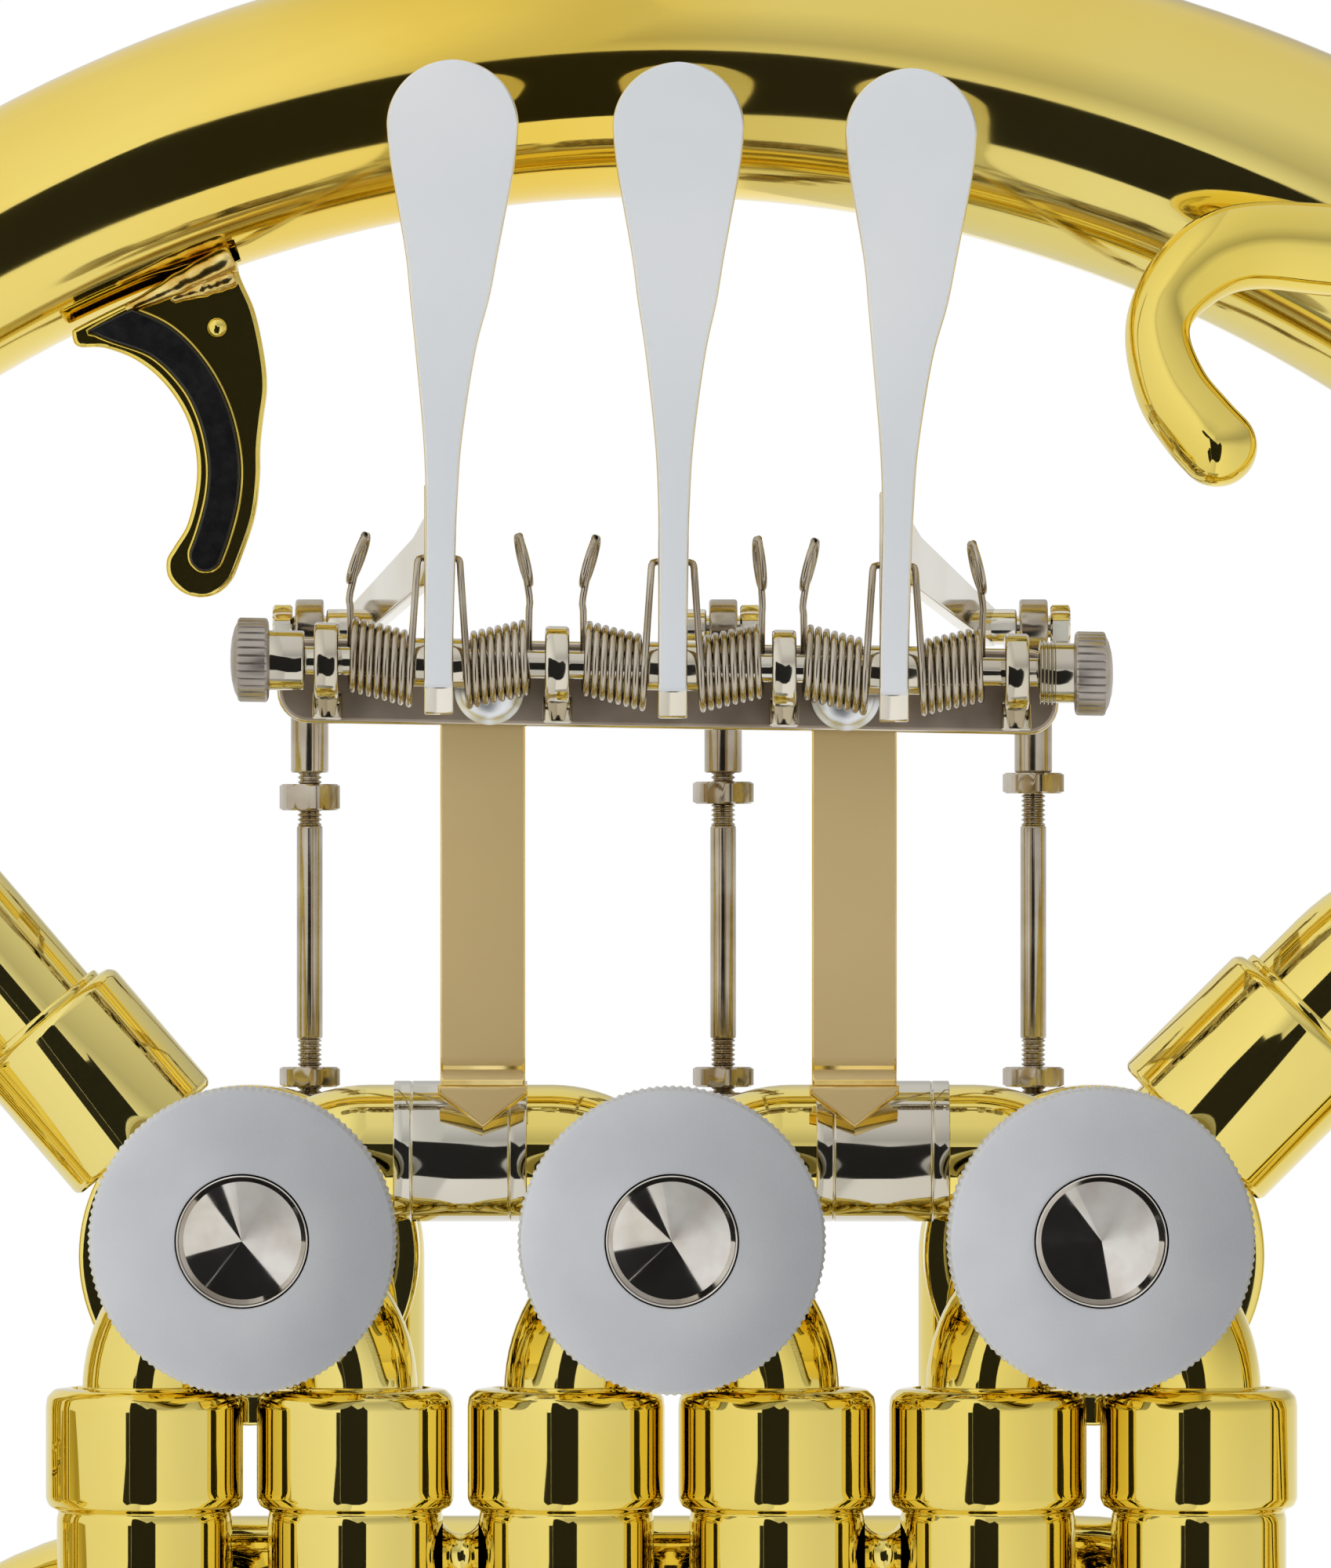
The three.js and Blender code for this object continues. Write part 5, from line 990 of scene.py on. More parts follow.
# %% [markdown]
# The lever carriage is a plate with four posts. Each post has a round head that holds the axle,
# and stands on a foot that flares towards the viewer. The heads are slices of a drum, so seen
# from the front they mirror the room as a level cylinder does: light, dark, light, gold.

# %% Carriage
axle_depth, axle_height = -16, 58.9
plate_front, plate_back = -10.5, -9
plate_left, plate_right, plate_bottom, plate_top, plate_corner = -40.9, 40.1, 52.5, 61.4, 3.2
lean = 0.0164


def leaning(shells, x=None):
    """In the photograph the axle leans a little, so up falls by lean times right, taken at each
    point or, for a piece that keeps its own direction, at the one place x."""
    return [(points - lean * (points[:, :1] if x is None else x) * up, faces)
            for points, faces in shells]


def domed(radius, place, rise, first, last, steps):
    """Part of an ellipse: radius cos(b) at place - rise sin(b), from one angle b to another."""
    b = np.radians(np.linspace(first, last, steps))
    return np.stack([radius * np.cos(b), place - rise * np.sin(b)], -1)


corners = [(plate_right, plate_bottom, -90), (plate_right, plate_top, 0),
           (plate_left, plate_top, 90), (plate_left, plate_bottom, 180)]
outline = np.vstack([
    arc((x - math.copysign(plate_corner, x), z - math.copysign(plate_corner, z - axle_height)),
        plate_corner, a, a + 90, 8)
    for x, z, a in corners])
sheet = plate(outline, plate_front, plate_back, 0.6, facing)
# The plate's brown-grey colour is a painted reflection of the springs; its edges get the buffed finish.
burnish(piece("carriage_plate", leaning([sheet]), lapped_silver_with_painted_reflection), post_silver)
post_side = np.vstack([arc((axle_depth, axle_height), 4, 90, 262, 30),
                       [[-13.2, 55.4], [-10.7, 55.4], [-10.7, 61.2], [-13.2, 62.9]]])
foot_side = eased([[-13.4, 55.9], [-14.9, 52.9], [-10.7, 52.9], [-10.7, 55.9]], 0.35, closed=True)
parts = []
for x in (-35.6, -11.8, 11.6, 35.6):
    parts.append(plate(post_side, x - 1.25, x + 1.25, 0.35, sideways))
    parts.append(plate(foot_side, x - 1.55, x + 1.55, 0.3, sideways))
piece("lever_carriage", leaning(parts), post_silver, stands_for=["carriage"], crease=40)
screw_head = np.vstack([[[0.02, -10.6], [3.6, -10.6], [3.6, -10.95], [3.45, -11.1]],
                        domed(3.2, -11.0, 1.3, 12, 89, 10)])
for i, x in enumerate((-18.9, 18.0)):
    piece(f"dome_screw_{i + 1}", leaning([turned(screw_head, spot(x, 0, 56.2), deep, 72)]), dome_silver,
          stands_for=[f"carriage_screw_{i + 1}"])
print("carriage", made["lever_carriage"], "faces")

# %% [markdown]
# The axle ends in two knurled screws with a slim neck. On the right the neck still shows its
# thread. The knurl of these is coarse: straight grooves that can be counted in the photograph.

# %% Axle and knurled screws
axle_at = spot(0, axle_depth, axle_height)
piece("lever_axle", leaning([rod(1.5, -41, 41, axle_at, right)]), nickel, stands_for=["axle"])
groove = np.linspace(38.0, 39.6, 33)
ridges = np.stack([3.2 + 0.16 * np.cos(2 * np.pi * (groove - 38) / 0.4), groove], -1)
neck_thread = np.vstack([[[1.9, 38.0]], ridges, [[1.9, 39.6]]])
head_profile = [[1.9, 41.6], [3.9, 41.6], [4.2, 41.7], [4.34, 41.9], [4.34, 44.5], [4.2, 44.72],
                [3.9, 44.8], [3.3, 45.1], [2.2, 45.38], [1.1, 45.5], [0.03, 45.54]]
head_rough = [0, 0, 0.5, 1, 1, 0.5, 0, 0, 0, 0, 0]
for side, way in (("left", left), ("right", right)):
    parts = [collar(3.1, 1.9, 37.9, 41.7, axle_at, way, soft=0.25)]
    if side == "right":
        parts.append(turned(neck_thread, axle_at, way, ring=True))
    piece(f"{side}_knob", leaning(parts), nickel, stands_for=[f"knurled_screw_{side}"])
    head = knurled(head_profile, head_rough, axle_at, way, 32, 0.26, ring=False, grooves=True)
    piece(f"{side}_knob_head", leaning([head]), knurl_nickel)
print("knobs done")

# %% [markdown]
# A lever is a spoon: a leaf that swells towards its round tip, a narrow shank, a hub on the axle
# and, behind, an arm to the pushrod. The leaf could be an extruded outline, but its width and
# sideways drift are smooth functions of height, so it is carried along its length as a rounded
# rectangle whose half width follows the outline and closes as a circle at the tip.

# %% Lever shapes
shank_places = (-24, 0.1, 22.9)
spoon_shifts = (1.45, 0.6, 1.75)
leaf_drops = (0.55, 0.4, 0.67)
leaf_heights = np.array([56.6, 60, 70, 75.8, 82.3, 91.2, 96.8, 101.6, 109.7, 112.5, 114.7])
leaf_halves = np.array([1.5, 1.5, 1.55, 1.65, 2.02, 3.1, 4.1, 4.8, 6.25, 6.62, 6.8])
leaf_drifts = np.array([0, 0, 0.13, 0.22, 0.3, 0.5, 0.8, 0.94, 1, 1, 1])
leaf_front, leaf_back, tip_radius = -20.2, -18.9, 6.8
rod_places = (-38.5, 5.5, 38.5)
rod_joint_height = 63.5


def cushion(across, thick, corner, steps):
    """A rounded rectangle for each row, with half sizes across and thick: four quarter circles of
    radius corner, each moved out to its corner. Gives the places across and through."""
    turn = np.concatenate([np.radians(np.linspace(0, 90, steps) + 90 * k) for k in range(4)])
    sign_x, sign_y = np.repeat([1, -1, -1, 1], steps), np.repeat([1, 1, -1, -1], steps)
    corner = corner[:, None]
    return (sign_x * (across[:, None] - corner) + corner * np.cos(turn),
            sign_y * (thick - corner) + corner * np.sin(turn))


def leaf(x, shift, drop, corner=0.35, steps=6):
    """At each height a rounded rectangle. Half width and drift are read off smooth curves, and
    above the tip's centre the half width is radius cos(a) at height centre + radius sin(a). The
    part above 60 is pressed down evenly, by drop at the top."""
    table = smooth(np.stack([leaf_heights, leaf_halves, leaf_drifts * shift], -1), 8)
    a = np.radians(np.linspace(4, 89.5, 26))
    tip = np.stack([leaf_heights[-1] + tip_radius * np.sin(a), tip_radius * np.cos(a),
                    np.full(len(a), shift)], -1)
    height, half, drift = np.vstack([table, tip]).T
    height = height - drop * np.clip((height - 60) / 60, 0, 1)
    thick = (leaf_back - leaf_front) / 2
    round_off = np.minimum(corner, np.minimum(half, thick) * 0.95)
    across, through = cushion(half, thick, round_off, steps)
    grid = np.stack([x + drift[:, None] + across, (leaf_front + leaf_back) / 2 + through,
                     np.broadcast_to(height[:, None], across.shape)], -1)
    return shell(grid, flat_ends=True)


def hexagon(width, first, last, start, axis, chamfer=0.35):
    """A nut: radius half / cos(angle to the middle of the flat), where half is half its width,
    cut down at both faces."""
    sides, half = 72, width / 2
    v = np.linspace(0, 2 * np.pi, sides, endpoint=False)
    flat = (v + np.pi / 6) % (np.pi / 3) - np.pi / 6
    radius = np.minimum(half / np.cos(flat), half * 1.135)
    place = np.array([first, first, first + chamfer * 0.6, last - chamfer * 0.6, last, last])
    cut = np.array([0.02, 0.9, 1, 1, 0.9, 0.02])[:, None]
    limit = np.where(cut < 1, half * cut * 1.09, np.inf)
    profile = np.stack([np.zeros(len(place)), place], -1)
    return turned(profile, start, axis, sides, wave=np.minimum(radius, limit))


arm_half, arm_root = 0.8, -16.5
# From the middle of the pushrod's eye to the middle of the arm's end: half the eye, a gap, the
# stud's collar and half the arm.
arm_gap = 1.5 + 0.3 + 2.3 + 0.8


def arm_plate(x, rod_x):
    """The arm's side view carried through its width, then leant: right += lean (deep - root)."""
    outwards = np.sign(rod_x - x)
    tip_x = rod_x - outwards * arm_gap
    side = np.vstack([[[-18.4, 75.5], [-18.4, 71], [-14.9, 71], [-9, 67.2]],
                      arc((rod_depth, rod_joint_height), 2.1, -90, 90, 10), [[-6.9, 72.5], [-12, 74.3]]])
    points, faces = plate(eased(side, 0.6, closed=True), x - arm_half, x + arm_half, 0.25, sideways)
    leant = (tip_x - x) / (rod_depth - arm_root) * (points[:, 1] - arm_root)
    return (points + leant[:, None] * right, faces), tip_x, outwards


# %% [markdown]
# Each lever is one piece: the leaf, the shank under it, the arm behind and the stud on which the
# pushrod hangs. Its hub is buffed brighter, so that is a piece of its own on the same body.

# %% Levers
shank_half, stud_reach, nut_width = 1.5, 1.8, 2.1
shank_side = eased([[-19.3, 57.4], [-19.3, 77.3], [-16.9, 77.3], [-16.5, 76.6], [-16.5, 55.6],
                    [-17.2, 54.6], [-18.0, 55.0]], 0.3, closed=True)
heel_side = eased([[-20.15, 57.2], [-20.15, 56.4], [-18.7, 53.7], [-18.1, 53.5], [-17.6, 53.8],
                   [-17.6, 57.2]], 0.25, closed=True)
joint = spot(0, rod_depth, rod_joint_height)
for i, (x, shift, drop, rod_x) in enumerate(zip(shank_places, spoon_shifts, leaf_drops, rod_places)):
    arm, tip_x, outwards = arm_plate(x, rod_x)
    near, far = rod_x - outwards * stud_reach, rod_x + outwards * stud_reach
    stud_end = far + outwards * nut_width
    blade = leaning([leaf(x, shift, drop),
                     plate(shank_side, x - shank_half, x + shank_half, 0.3, sideways),
                     plate(heel_side, x - shank_half, x + shank_half, 0.2, sideways)], x)
    hub = collar(2.55, 1.7, -2.95, 2.95, spot(x, axle_depth, axle_height), right, 56)
    piece(f"lever_hub_{i + 1}", leaning([hub]), post_silver, body=f"lever_{i + 1}")
    # The thin bar runs on through the nut of levers 2 and 3. On lever 1, whose pushrod is on its
    # left, it ends where the nut begins.
    parts = blade + [arm, rod(1.9, *sorted((tip_x, near)), joint, right),
                     rod(1.2, min(tip_x, far), max(tip_x, stud_end), joint, right),
                     hexagon(4.3, *sorted((far, stud_end)), joint, right)]
    item = piece(f"spoon_lever_{i + 1}", parts, lever_silver, body=f"lever_{i + 1}",
                 stands_for=[f"lever_{i + 1}"], crease=38)
    burnish(item, lever_edge)
print("levers", made["spoon_lever_1"], "faces each")

# %% [markdown]
# Each pushrod is a thin rod with a threaded part at both ends, a lock nut on each thread, a
# socket, and an eye that hangs on the lever's stud. Thread could be a bump pattern, but it shows
# at the rod's edge, so it is a wave of the turned radius with the pitch of a small screw.

# %% Pushrods
rod_radius, socket_radius, thread_radius, thread_pitch = 1.375, 2.0, 1.15, 0.5
upper_nuts = ((46.8, 44.0), (47.05, 44.7), (48, 45.8))


def threaded(top, bottom, start):
    """Radius = thread radius + 0.14 cos(2 pi s / pitch) along the axis."""
    s = np.linspace(bottom, top, max(9, round((top - bottom) / thread_pitch * 8)))
    wave = thread_radius + 0.14 * np.cos(2 * np.pi * s / thread_pitch)
    profile = np.vstack([[[0.02, bottom]], np.stack([wave, s], -1), [[0.02, top]]])
    return turned(profile, start, up, 32)


pin_height = pin_radius * math.sin(math.radians(pin_angle))
for i, (x, (nut_top, nut_bottom)) in enumerate(zip(rod_places, upper_nuts)):
    axis_at = spot(x, rod_depth, 0)
    parts = [
        collar(2.95, 1.5, -1.5, 1.5, axis_at + rod_joint_height * up, right, 56),
        rod(socket_radius, 48, 61, axis_at, up),
        threaded(48.3, 42.2, axis_at),
        hexagon(5.9, nut_bottom, nut_top, axis_at, up),
        rod(rod_radius, 19.7, 42.4, axis_at, up, soft=0.3),
        threaded(20, 13.6, axis_at),
        hexagon(5.9, 14.6, 16.7, axis_at, up),
        rod(socket_radius, 8.1, 14, axis_at, up),
        collar(3.7, 2.7, -1, 1.2, axis_at + pin_height * up, deep, 56),
    ]
    piece(f"push_rod_{i + 1}", parts, steel, body=f"pushrod_{i + 1}", stands_for=[f"pushrod_{i + 1}"])
print("pushrods", made["push_rod_1"], "faces each")

# %% [markdown]
# Every lever has a double torsion spring of one wire: an eye, a tail down to the back of the
# axle, a coil, a leg up in front, a bridge behind the shank, and the same again mirrored. In the
# photograph the coils droop towards the lever, so the middle of each turn sinks as it goes in.
# A Blender Screw modifier gives a coil alone; one line for the whole wire joins all of it.
# When a lever goes down, its bridge goes with it and both coils wind by the same angle. So the
# bridge, both legs and the last half turn of each coil are a piece of their own that rides on
# the lever. It turns about the coil's own axis, so its wire slides along the turn. Its two ends
# are thinner and run on inside the fixed wire, so that no gap opens when they draw out.

# %% Springs
wire_radius, coil_radius, coil_turns, coil_pitch, coil_droop = 0.37, 3.65, 7, 0.89, 0.75
leg_offset, bridge_height, bridge_half = 2.95, 69.7, 2.15
eye_leans = ((1.78, -1.2), (1.45, -0.56), (1.3, -1.2))
eye_long, eye_wide = 2.55, 1.5
# The coil keeps eight points a turn, and the smooth curve has three points for each of them.
half_turn, curve_steps = 4, 3


def half_spring(x, side, lean):
    """From the eye to the middle of the bridge, and the point where the moving part starts. At
    angle a the coil is, right = from the leg outwards by pitch a / 2 pi, deep = axle + r cos a,
    up = axle - r sin a - droop."""
    outer = x + side * (leg_offset + coil_turns * coil_pitch)
    a = np.linspace(0, 2 * np.pi * (coil_turns + 0.5), 16 * coil_turns + 9)[::2]
    share = a / a[-1]
    coil = np.stack([outer - side * share * coil_turns * coil_pitch, axle_depth + coil_radius * np.cos(a),
                     axle_height - coil_radius * np.sin(a) + coil_droop * (1 - 2 * share)], -1)
    tail_top = spot(outer + 0.1 * side, coil[0, 1], 67.2)
    lean_way = unit(spot(lean, 0, 5.0))
    turn = np.radians(np.linspace(-150, 175, 26))[::-1, None]
    opening = unit(spot(0.2 * np.sign(lean), 1, 0))
    eye = tail_top + eye_long * lean_way - eye_long * np.cos(turn) * lean_way
    eye = eye + eye_wide * np.sin(turn) * opening
    tail = tail_top + np.linspace(0.15, 0.95, 5)[:, None] * (coil[0] - tail_top)
    corner = spot(x + side * bridge_half, axle_depth - 2.6, bridge_height)
    leg = coil[-1] + np.linspace(0.12, 0.86, 7)[:, None] * (corner - coil[-1])
    under = corner + np.array([[0.0, 0.35, -0.35], [-0.3 * side, 0.9, -0.08], [-0.9 * side, 1.2, 0.0]])
    middle = [[x, axle_depth - 0.4, bridge_height]]
    wire = smooth(np.vstack([eye, tail, coil, leg, under, middle]), curve_steps)
    return wire, curve_steps * (len(eye) + len(tail) + len(coil) - 1 - half_turn)


for i, (x, leans) in enumerate(zip(shank_places, eye_leans)):
    (first, split), (second, _) = half_spring(x, -1, leans[0]), half_spring(x, 1, leans[1])
    fixed = [tube(wire[:split + 1], wire_radius, 14, soft=0.1) for wire in (first, second)]
    piece(f"torsion_spring_{i + 1}", leaning(fixed), steel, stands_for=[f"spring_{i + 1}"], crease=70)
    loop = np.vstack([first[split - 2:], second[-2:split - 3:-1]])
    thickness = np.full(len(loop), wire_radius)
    thickness[[0, 1, -2, -1]] = 0.8 * wire_radius
    piece(f"spring_bridge_{i + 1}", leaning([tube(loop, thickness, 14, soft=0.1)]), steel,
          body=f"lever_{i + 1}", crease=70)
print("springs", made["torsion_spring_1"], "faces each")

# %% [markdown]
# Two straps of rolled brass strip hang from the carriage to the ferrules between the valves. The
# face is flat with a bright broken edge. Near the bottom it steps back in a knee and comes
# forward again onto a pointed foot, a thick plate filed to a wide bevel and soldered down.

# %% Straps
strap_places, strap_half, strap_thickness, strap_corner = (-19.6, 18.95), 4.4, 1.2, 0.28
strap_side = eased([[-8.7, 60.5], [-8.7, 18.0], [-8.05, 16.9], [-8.15, 16.2], [-9.25, 14.9],
                    [-9.25, 14.6]], 0.5)
# The bevel is wide, so this outline keeps few points: close ones would cross when pulled in.
arrow = np.array([[-4.65, 15.6], [-4.65, 14.5], [-2.3, 12.78], [0, 11.1], [2.3, 12.78], [4.65, 14.5],
                  [4.65, 15.6], [1.6, 15.6], [-1.6, 15.6]])


def strap(x):
    """A strip whose side view is a polyline with eased corners; each row is a rounded
    rectangle."""
    rows = np.ones(len(strap_side))
    across, through = cushion(strap_half * rows, strap_thickness / 2, strap_corner * rows, 5)
    grid = np.stack([x + across, strap_side[:, :1] + strap_thickness / 2 + through,
                     np.broadcast_to(strap_side[:, 1:], across.shape)], -1)
    return shell(grid, flat_ends=True)


for i, x in enumerate(strap_places):
    foot = plate(arrow + [x, 0], -9.35, -6.2, 0.55, facing)
    item = piece(f"brass_strap_{i + 1}", [strap(x), foot], khaki, stands_for=[f"strap_{i + 1}"], crease=40)
    burnish(item, khaki_edge, 0.9)
print("straps done")

# %% [markdown]
# The thumb hook is sawn from plate and soldered to the big tube. Its front carries a curved strip
# of black plastic in a raised rim, held by a rivet. The outline follows points read off the real
# hook's shape, made smooth; the solder is a lumpy band along the tube.

# %% Thumb hook
hook_front, hook_back = 5, 8
hook_outline = smooth([
    (-45.3, 100.2), (-43.7, 96.4), (-42.7, 91.8), (-42.4, 88.3), (-42.8, 85.0), (-43.1, 82.0),
    (-43.15, 78.7), (-43.7, 74.6), (-45.3, 69.9), (-46.2, 68.0), (-47.6, 66.75), (-49.4, 66.35),
    (-51.3, 66.9), (-52.7, 68.4), (-52.9, 70.2), (-52.1, 71.7), (-50.7, 74.1), (-49.8, 78.2),
    (-49.9, 81.9), (-51.0, 85.5), (-53.2, 88.8), (-56.1, 91.2), (-59.4, 92.5), (-62.6, 93.0),
    (-61.8, 97.6), (-56.0, 101.6), (-50.5, 103.9), (-46.3, 104.4)], 6, closed=True)
inlay_curve = smooth([(-62.4, 97.2), (-58.7, 95.3), (-53.6, 93.2), (-50.0, 89.6), (-47.9, 85.5),
                      (-46.9, 81.0), (-47.0, 77.0), (-48.0, 72.9), (-49.4, 69.2)], 14)
# Evenly spaced again, but closer together where the end is round. It starts where the strip's
# lower side meets the tube: any earlier, and the outline cut there would run back over itself.
inlay_places = places(inlay_curve)
inlay_length = inlay_places[-1]
round_end = inlay_length - 1.6 * np.cos(np.radians(np.linspace(0, 90, 9)))
inlay_stops = np.concatenate([np.arange(2.4, inlay_length - 2, 0.9), round_end])
inlay_middle = np.stack([np.interp(inlay_stops, inlay_places, row) for row in inlay_curve.T], -1)
inlay_half = np.interp(places(inlay_middle), [0, 14], [1.95, 1.6])


def up_to_tube(points, reach):
    """Points farther than reach from the centre of the big ring move straight in to it."""
    middle = np.array([ring_x, ring_z])
    far = np.linalg.norm(points - middle, axis=1, keepdims=True)
    return middle + (points - middle) * np.minimum(1, reach / far)


def band(middle, half):
    """Both edges of a strip: the middle line moved sideways by half, which falls to nothing over
    the last stretch as half sqrt(1 - t^2), so that the end is round."""
    along = unit(np.gradient(middle, axis=0))
    s = places(middle)
    t = np.clip((s - (s[-1] - half[-1])) / half[-1], 0, 1)
    across = np.stack([-along[:, 1], along[:, 0]], -1) * (half * np.sqrt(1 - 0.97 * t * t))[:, None]
    return np.vstack([middle + across, (middle - across)[::-1]])


inlay_outline = up_to_tube(band(inlay_middle, inlay_half + 0.15), 136.7)
frame_line = np.concatenate([inlay_outline, inlay_outline[:1]])
rim_path = np.stack([frame_line[:, 0], np.full(len(frame_line), hook_front), frame_line[:, 1]], -1)
rivet = np.vstack([[[0.02, hook_front + 0.2], [1.0, hook_front + 0.2]],
                   domed(1.0, hook_front, 0.5, 5, 89, 8)])
parts = [plate(up_to_tube(hook_outline, 137.4), hook_front, hook_back, 0.45, facing),
         tube(smooth(rim_path, 2), 0.2, 10, soft=0.1), turned(rivet, spot(-47.6, 0, 94.6), deep, 32)]
piece("thumb_hook_plate", parts, gold, stands_for=["thumb_hook"], crease=40)
strip = plate(up_to_tube(band(inlay_middle, inlay_half), 136.5), 3.9, 4.95, 0.2, facing)
piece("thumb_hook_strip", [strip], inlay_black, stands_for=["thumb_hook_inlay"])


def solder_run(first, last, radii, steps=24):
    """A straight run of solder: its radius goes through the radii, with small uneven swellings."""
    share = np.linspace(0, 1, steps)
    radius = np.interp(share, np.linspace(0, 1, len(radii)), radii)
    radius = radius + 0.05 * np.sin(share * 17) + 0.04 * np.sin(share * 29)
    return tube(first + share[:, None] * (last - first), radius, 24, soft=0.35)


runs = [solder_run(spot(-57.2, 5.2, 96.4), spot(-45.9, 4.9, 101.9), (0.5, 1.0, 1.5, 1.6)),
        solder_run(spot(-52.5, 5.1, 97.6), spot(-45.6, 4.9, 99.9), (0.5, 0.9, 1.1, 1.0))]
piece("thumb_hook_solder", runs, solder_gold)
print("thumb hook", made["thumb_hook_plate"], "faces")

# %% [markdown]
# The finger hook is a cast bar, thick where it leaves the big tube, slimmer in its bend and
# swelling again to a round end. It comes towards the viewer as it curls down, so its face leans
# up and mirrors the ceiling, not the dark behind the camera. Places and radii go through one
# smooth curve, and a half ball closes the end.

# %% Finger hook
hook_places = [(84, -0.5, 100.6), (76, -5.5, 101.8), (68.2, -8, 102.2), (61.5, -10, 102.6),
               (57.0, -11.5, 101.8), (53.3, -13, 99.3), (50.7, -14.6, 95.8), (50.2, -16.2, 92.1),
               (51.7, -18, 87.2), (54.3, -19.4, 83.5), (56.1, -20, 81.5)]
hook_radii = [5.2, 5.0, 4.8, 4.55, 4.4, 3.95, 3.4, 3.4, 3.85, 4.1, 4.15]
bar = smooth(np.column_stack([hook_places, hook_radii]), 8)
line, bar_radius = bar[:, :3], bar[:, 3]
a = np.radians(np.linspace(8, 89.5, 14))
half_ball = line[-1] + bar_radius[-1] * np.sin(a)[:, None] * unit(line[-1] - line[-3])
radius = np.concatenate([bar_radius, bar_radius[-1] * np.cos(a)])
piece("little_finger_hook", [tube(np.vstack([line, half_ball]), radius, 72)], gold,
      stands_for=["pinky_hook"], crease=60)
print("finger hook", made["little_finger_hook"], "faces")

# %% [markdown]
# The studio. The camera looks straight at the valves through a long lens. It is turned so that
# the horn lies on its side, as it does in the photograph.

# %% Camera
camera_data = bpy.data.cameras.new("camera")
camera_data.sensor_fit = "VERTICAL"
camera_data.sensor_height = 36
camera_data.lens = 314.2
camera_data.clip_end = 100
camera = new_object("camera", camera_data)
eye_place = placed(spot(-0.64, -1428, 46.8))
# Its right is the frame's +Z, its up is the frame's -X, and it looks along +Y.
turn_to_view = Matrix(((0, -1, 0), (0, 0, -1), (1, 0, 0)))
camera.matrix_world = Matrix.Translation(eye_place) @ turn_to_view.to_4x4()
bpy.context.scene.camera = camera

# %% [markdown]
# The photograph is lit by white walls all round, with one dark opening behind the camera, which
# makes the black band down every tube. A dark card does that here. It stands a little in front of
# the camera, and as only glossy rays see it, it hides nothing. Its cloth runs on over the floor.
# A big round lamp adds a soft shadow, and it isn't mirrored.

# %% Dark card, floor and lamp
def stage_piece(name, corners, material):
    """A flat sheet that isn't part of the horn."""
    mesh = bpy.data.meshes.new(name)
    mesh.from_pydata([tuple(c) for c in corners], [], [tuple(range(len(corners)))])
    mesh.materials.append(material)
    item = new_object(name, mesh)
    item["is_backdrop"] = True
    return item


# Black felt: dull, and with no sheen at all.
felt, _, felt_shader = blank_material("black_felt")
felt_shader.inputs["Base Color"].default_value = linear("#2B2B2B")
felt_shader.inputs["Roughness"].default_value = 1.0
felt_shader.inputs["Specular IOR Level"].default_value = 0.0
card_depth = -1250
card_outline = [(-395, -930), (-260, -930), (-80, -1240), (110, -1240), (245, -930), (264, -734),
                (290, -480), (310, -172), (310, 107), (200, 330), (150, 264), (60, 190), (-33, 300),
                (-113, 360), (-184, 405), (-300, 530), (-380, 440), (-395, 260)]
card = stage_piece("dark_card", placed([(x, card_depth, z) for x, z in card_outline]), felt)
cloth_outline = [(-1250, -930), (-800, -930), (-800, -130), (-960, -100), (-960, -30), (-1250, -30)]
cloth_height = 0.002
cloth_corners = [(*placed(spot(0, y, z))[:2], cloth_height) for y, z in cloth_outline]
cloth = stage_piece("dark_cloth", cloth_corners, felt)
for sheet in (card, cloth):
    for flag in ("visible_camera", "visible_shadow", "visible_diffuse", "visible_transmission"):
        setattr(sheet, flag, False)

# White paper: almost even, and dull.
paper, paper_tree, paper_shader = blank_material("white_paper")
paper_place = node(paper_tree, "ShaderNodeTexCoord").outputs["Object"]
paper_noise = node(paper_tree, "ShaderNodeTexNoise",
                   {"Vector": paper_place, "Scale": per_metre(400), "Detail": 2.0})
paper_colour = node(paper_tree, "ShaderNodeValToRGB", {"Fac": paper_noise.outputs["Fac"]},
                    stops=[(0.3, linear("#F0F0EE")), (0.7, linear("#F3F3F2"))])
paper_tree.links.new(paper_colour.outputs["Color"], paper_shader.inputs["Base Color"])
paper_shader.inputs["Roughness"].default_value = 0.9
floor_half = 6.0
floor_corners = [(x * floor_half, y * floor_half, 0) for x, y in ((-1, -1), (1, -1), (1, 1), (-1, 1))]
stage_piece("floor", floor_corners, paper)

lamp_data = bpy.data.lights.new("softbox", "AREA")
lamp_data.shape, lamp_data.size, lamp_data.energy = "DISK", 2.4, 26
lamp = new_object("softbox", lamp_data)
lamp.location = (-0.9, -1.4, 2.4)
lamp.rotation_euler = (math.radians(32), 0, math.radians(-33))
lamp.visible_glossy = False

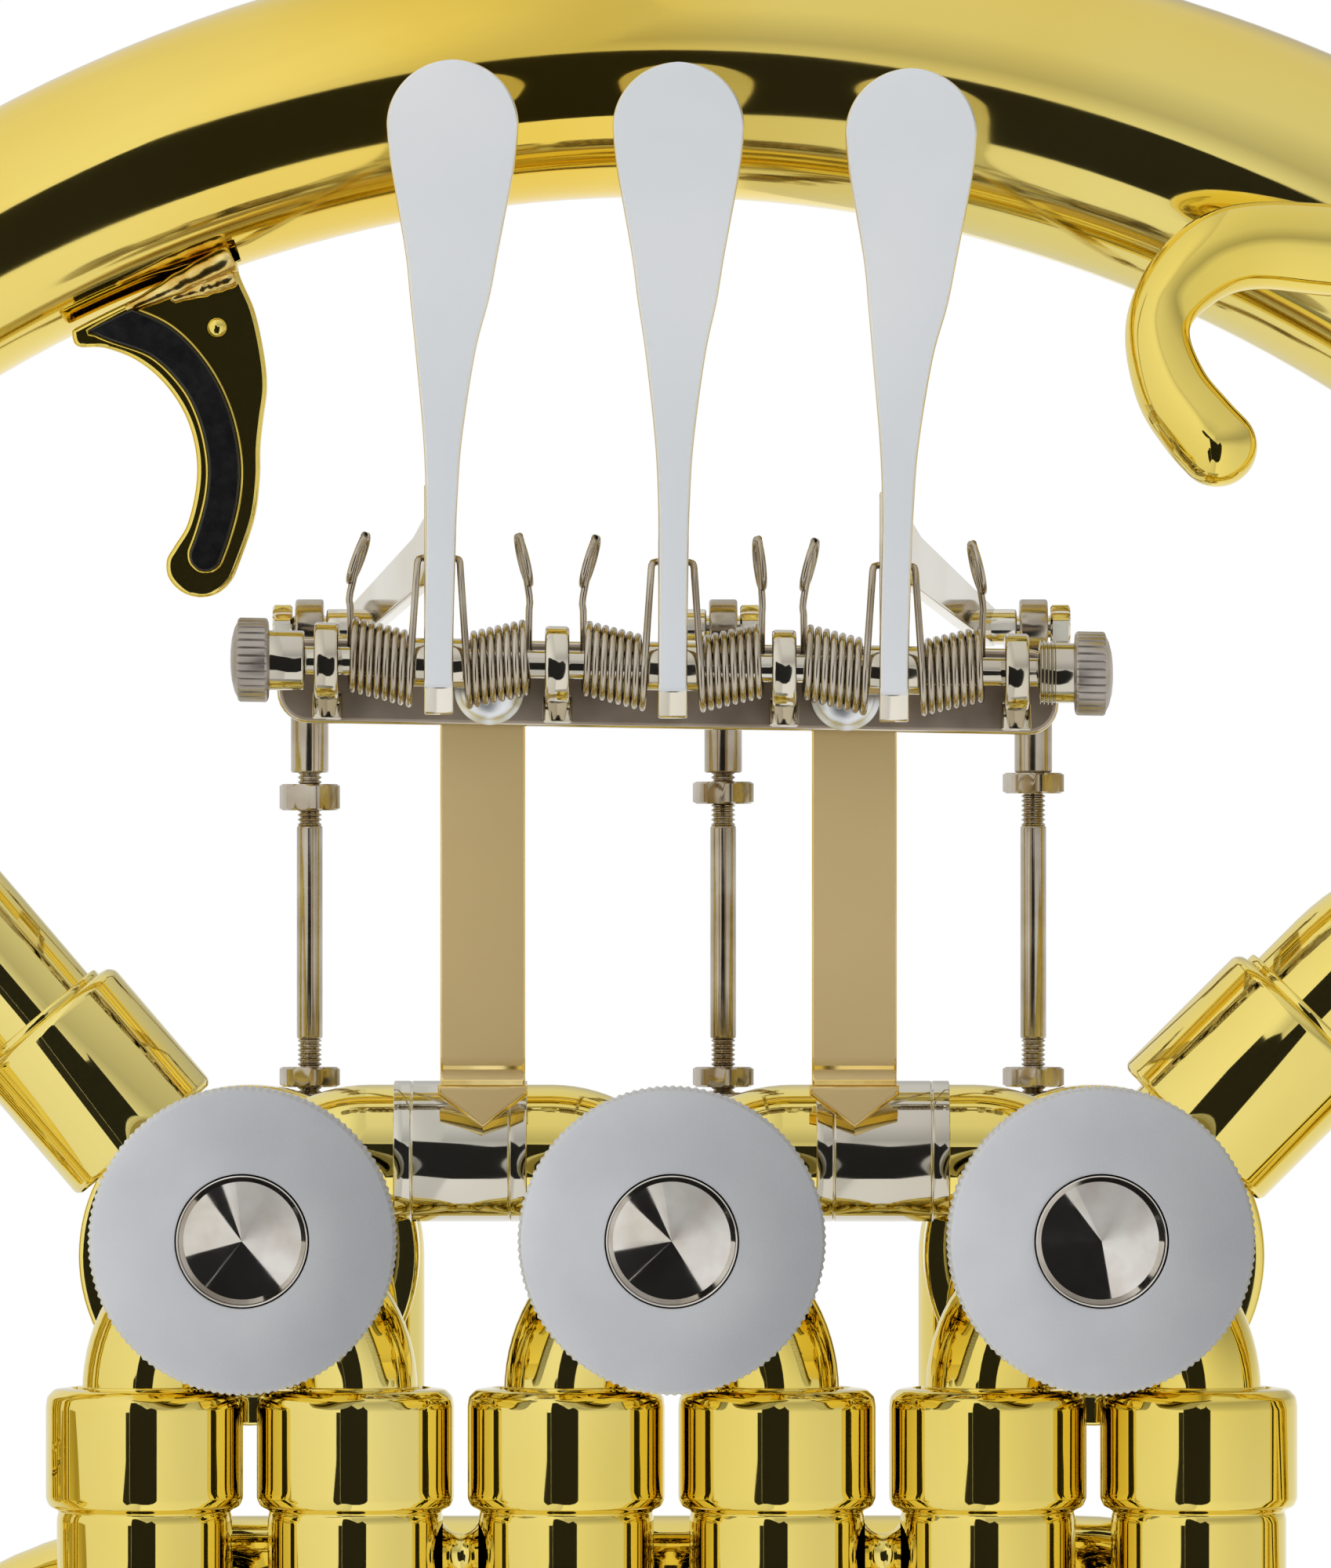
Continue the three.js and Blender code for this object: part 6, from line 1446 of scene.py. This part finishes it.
# %% [markdown]
# The world is white where it is looked at. Where it is mirrored, it dims towards the ceiling, so
# the tops of the tubes keep their colour, and everything else gets an even light grey.

# %% World
def grey(value):
    """A grey of a linear value."""
    return (value, value, value, 1)


world = bpy.data.worlds.new("white_room")
bpy.context.scene.world = world
world.use_nodes = True
tree = world.node_tree
background = tree.nodes["Background"]
way = node(tree, "ShaderNodeTexCoord").outputs["Generated"]
parts = node(tree, "ShaderNodeSeparateXYZ", {"Vector": way})
# The photograph's upward direction is the frame's -X.
upward = node(tree, "ShaderNodeMath", {0: parts.outputs["X"], 1: -0.5, 2: 0.5}, operation="MULTIPLY_ADD")
greys = ((0.30, 1.0), (0.50, 0.93), (0.66, 0.53), (0.75, 0.64), (0.86, 0.8), (1.0, 0.84))
ceiling = node(tree, "ShaderNodeValToRGB", {"Fac": upward.outputs[0]},
               stops=[(place, grey(value)) for place, value in greys])
rays = node(tree, "ShaderNodeLightPath").outputs
seen = node(tree, "ShaderNodeMath", {0: rays["Is Camera Ray"], 1: rays["Is Transmission Ray"]},
            operation="MAXIMUM").outputs[0]
# The wall on the photograph's right, the frame's +Z, is dimmer too.
wall = node(tree, "ShaderNodeMapRange", {"Value": parts.outputs["Z"], "From Min": 0.0, "From Max": 0.9,
                                         "To Min": 1.0, "To Max": 0.82})
walls = node(tree, "ShaderNodeMixRGB", {"Fac": 1.0, "Color1": ceiling.outputs["Color"],
                                        "Color2": wall.outputs["Result"]}, blend_type="MULTIPLY")
room = node(tree, "ShaderNodeMixRGB", {"Fac": rays["Is Glossy Ray"], "Color1": grey(0.8),
                                       "Color2": walls.outputs["Color"]})
final = node(tree, "ShaderNodeMixRGB", {"Fac": seen, "Color1": room.outputs["Color"], "Color2": grey(1.0)})
tree.links.new(final.outputs["Color"], background.inputs["Color"])
background.inputs["Strength"].default_value = 1.0
bpy.context.scene.view_settings.view_transform = "Standard"
print("studio ready;", len(made), "pieces,", sum(made.values()), "faces")

# %% [markdown]
# The bounds of the finished scene, leaving out the backdrop, are measured.

# %% Size of the scene
low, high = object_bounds()
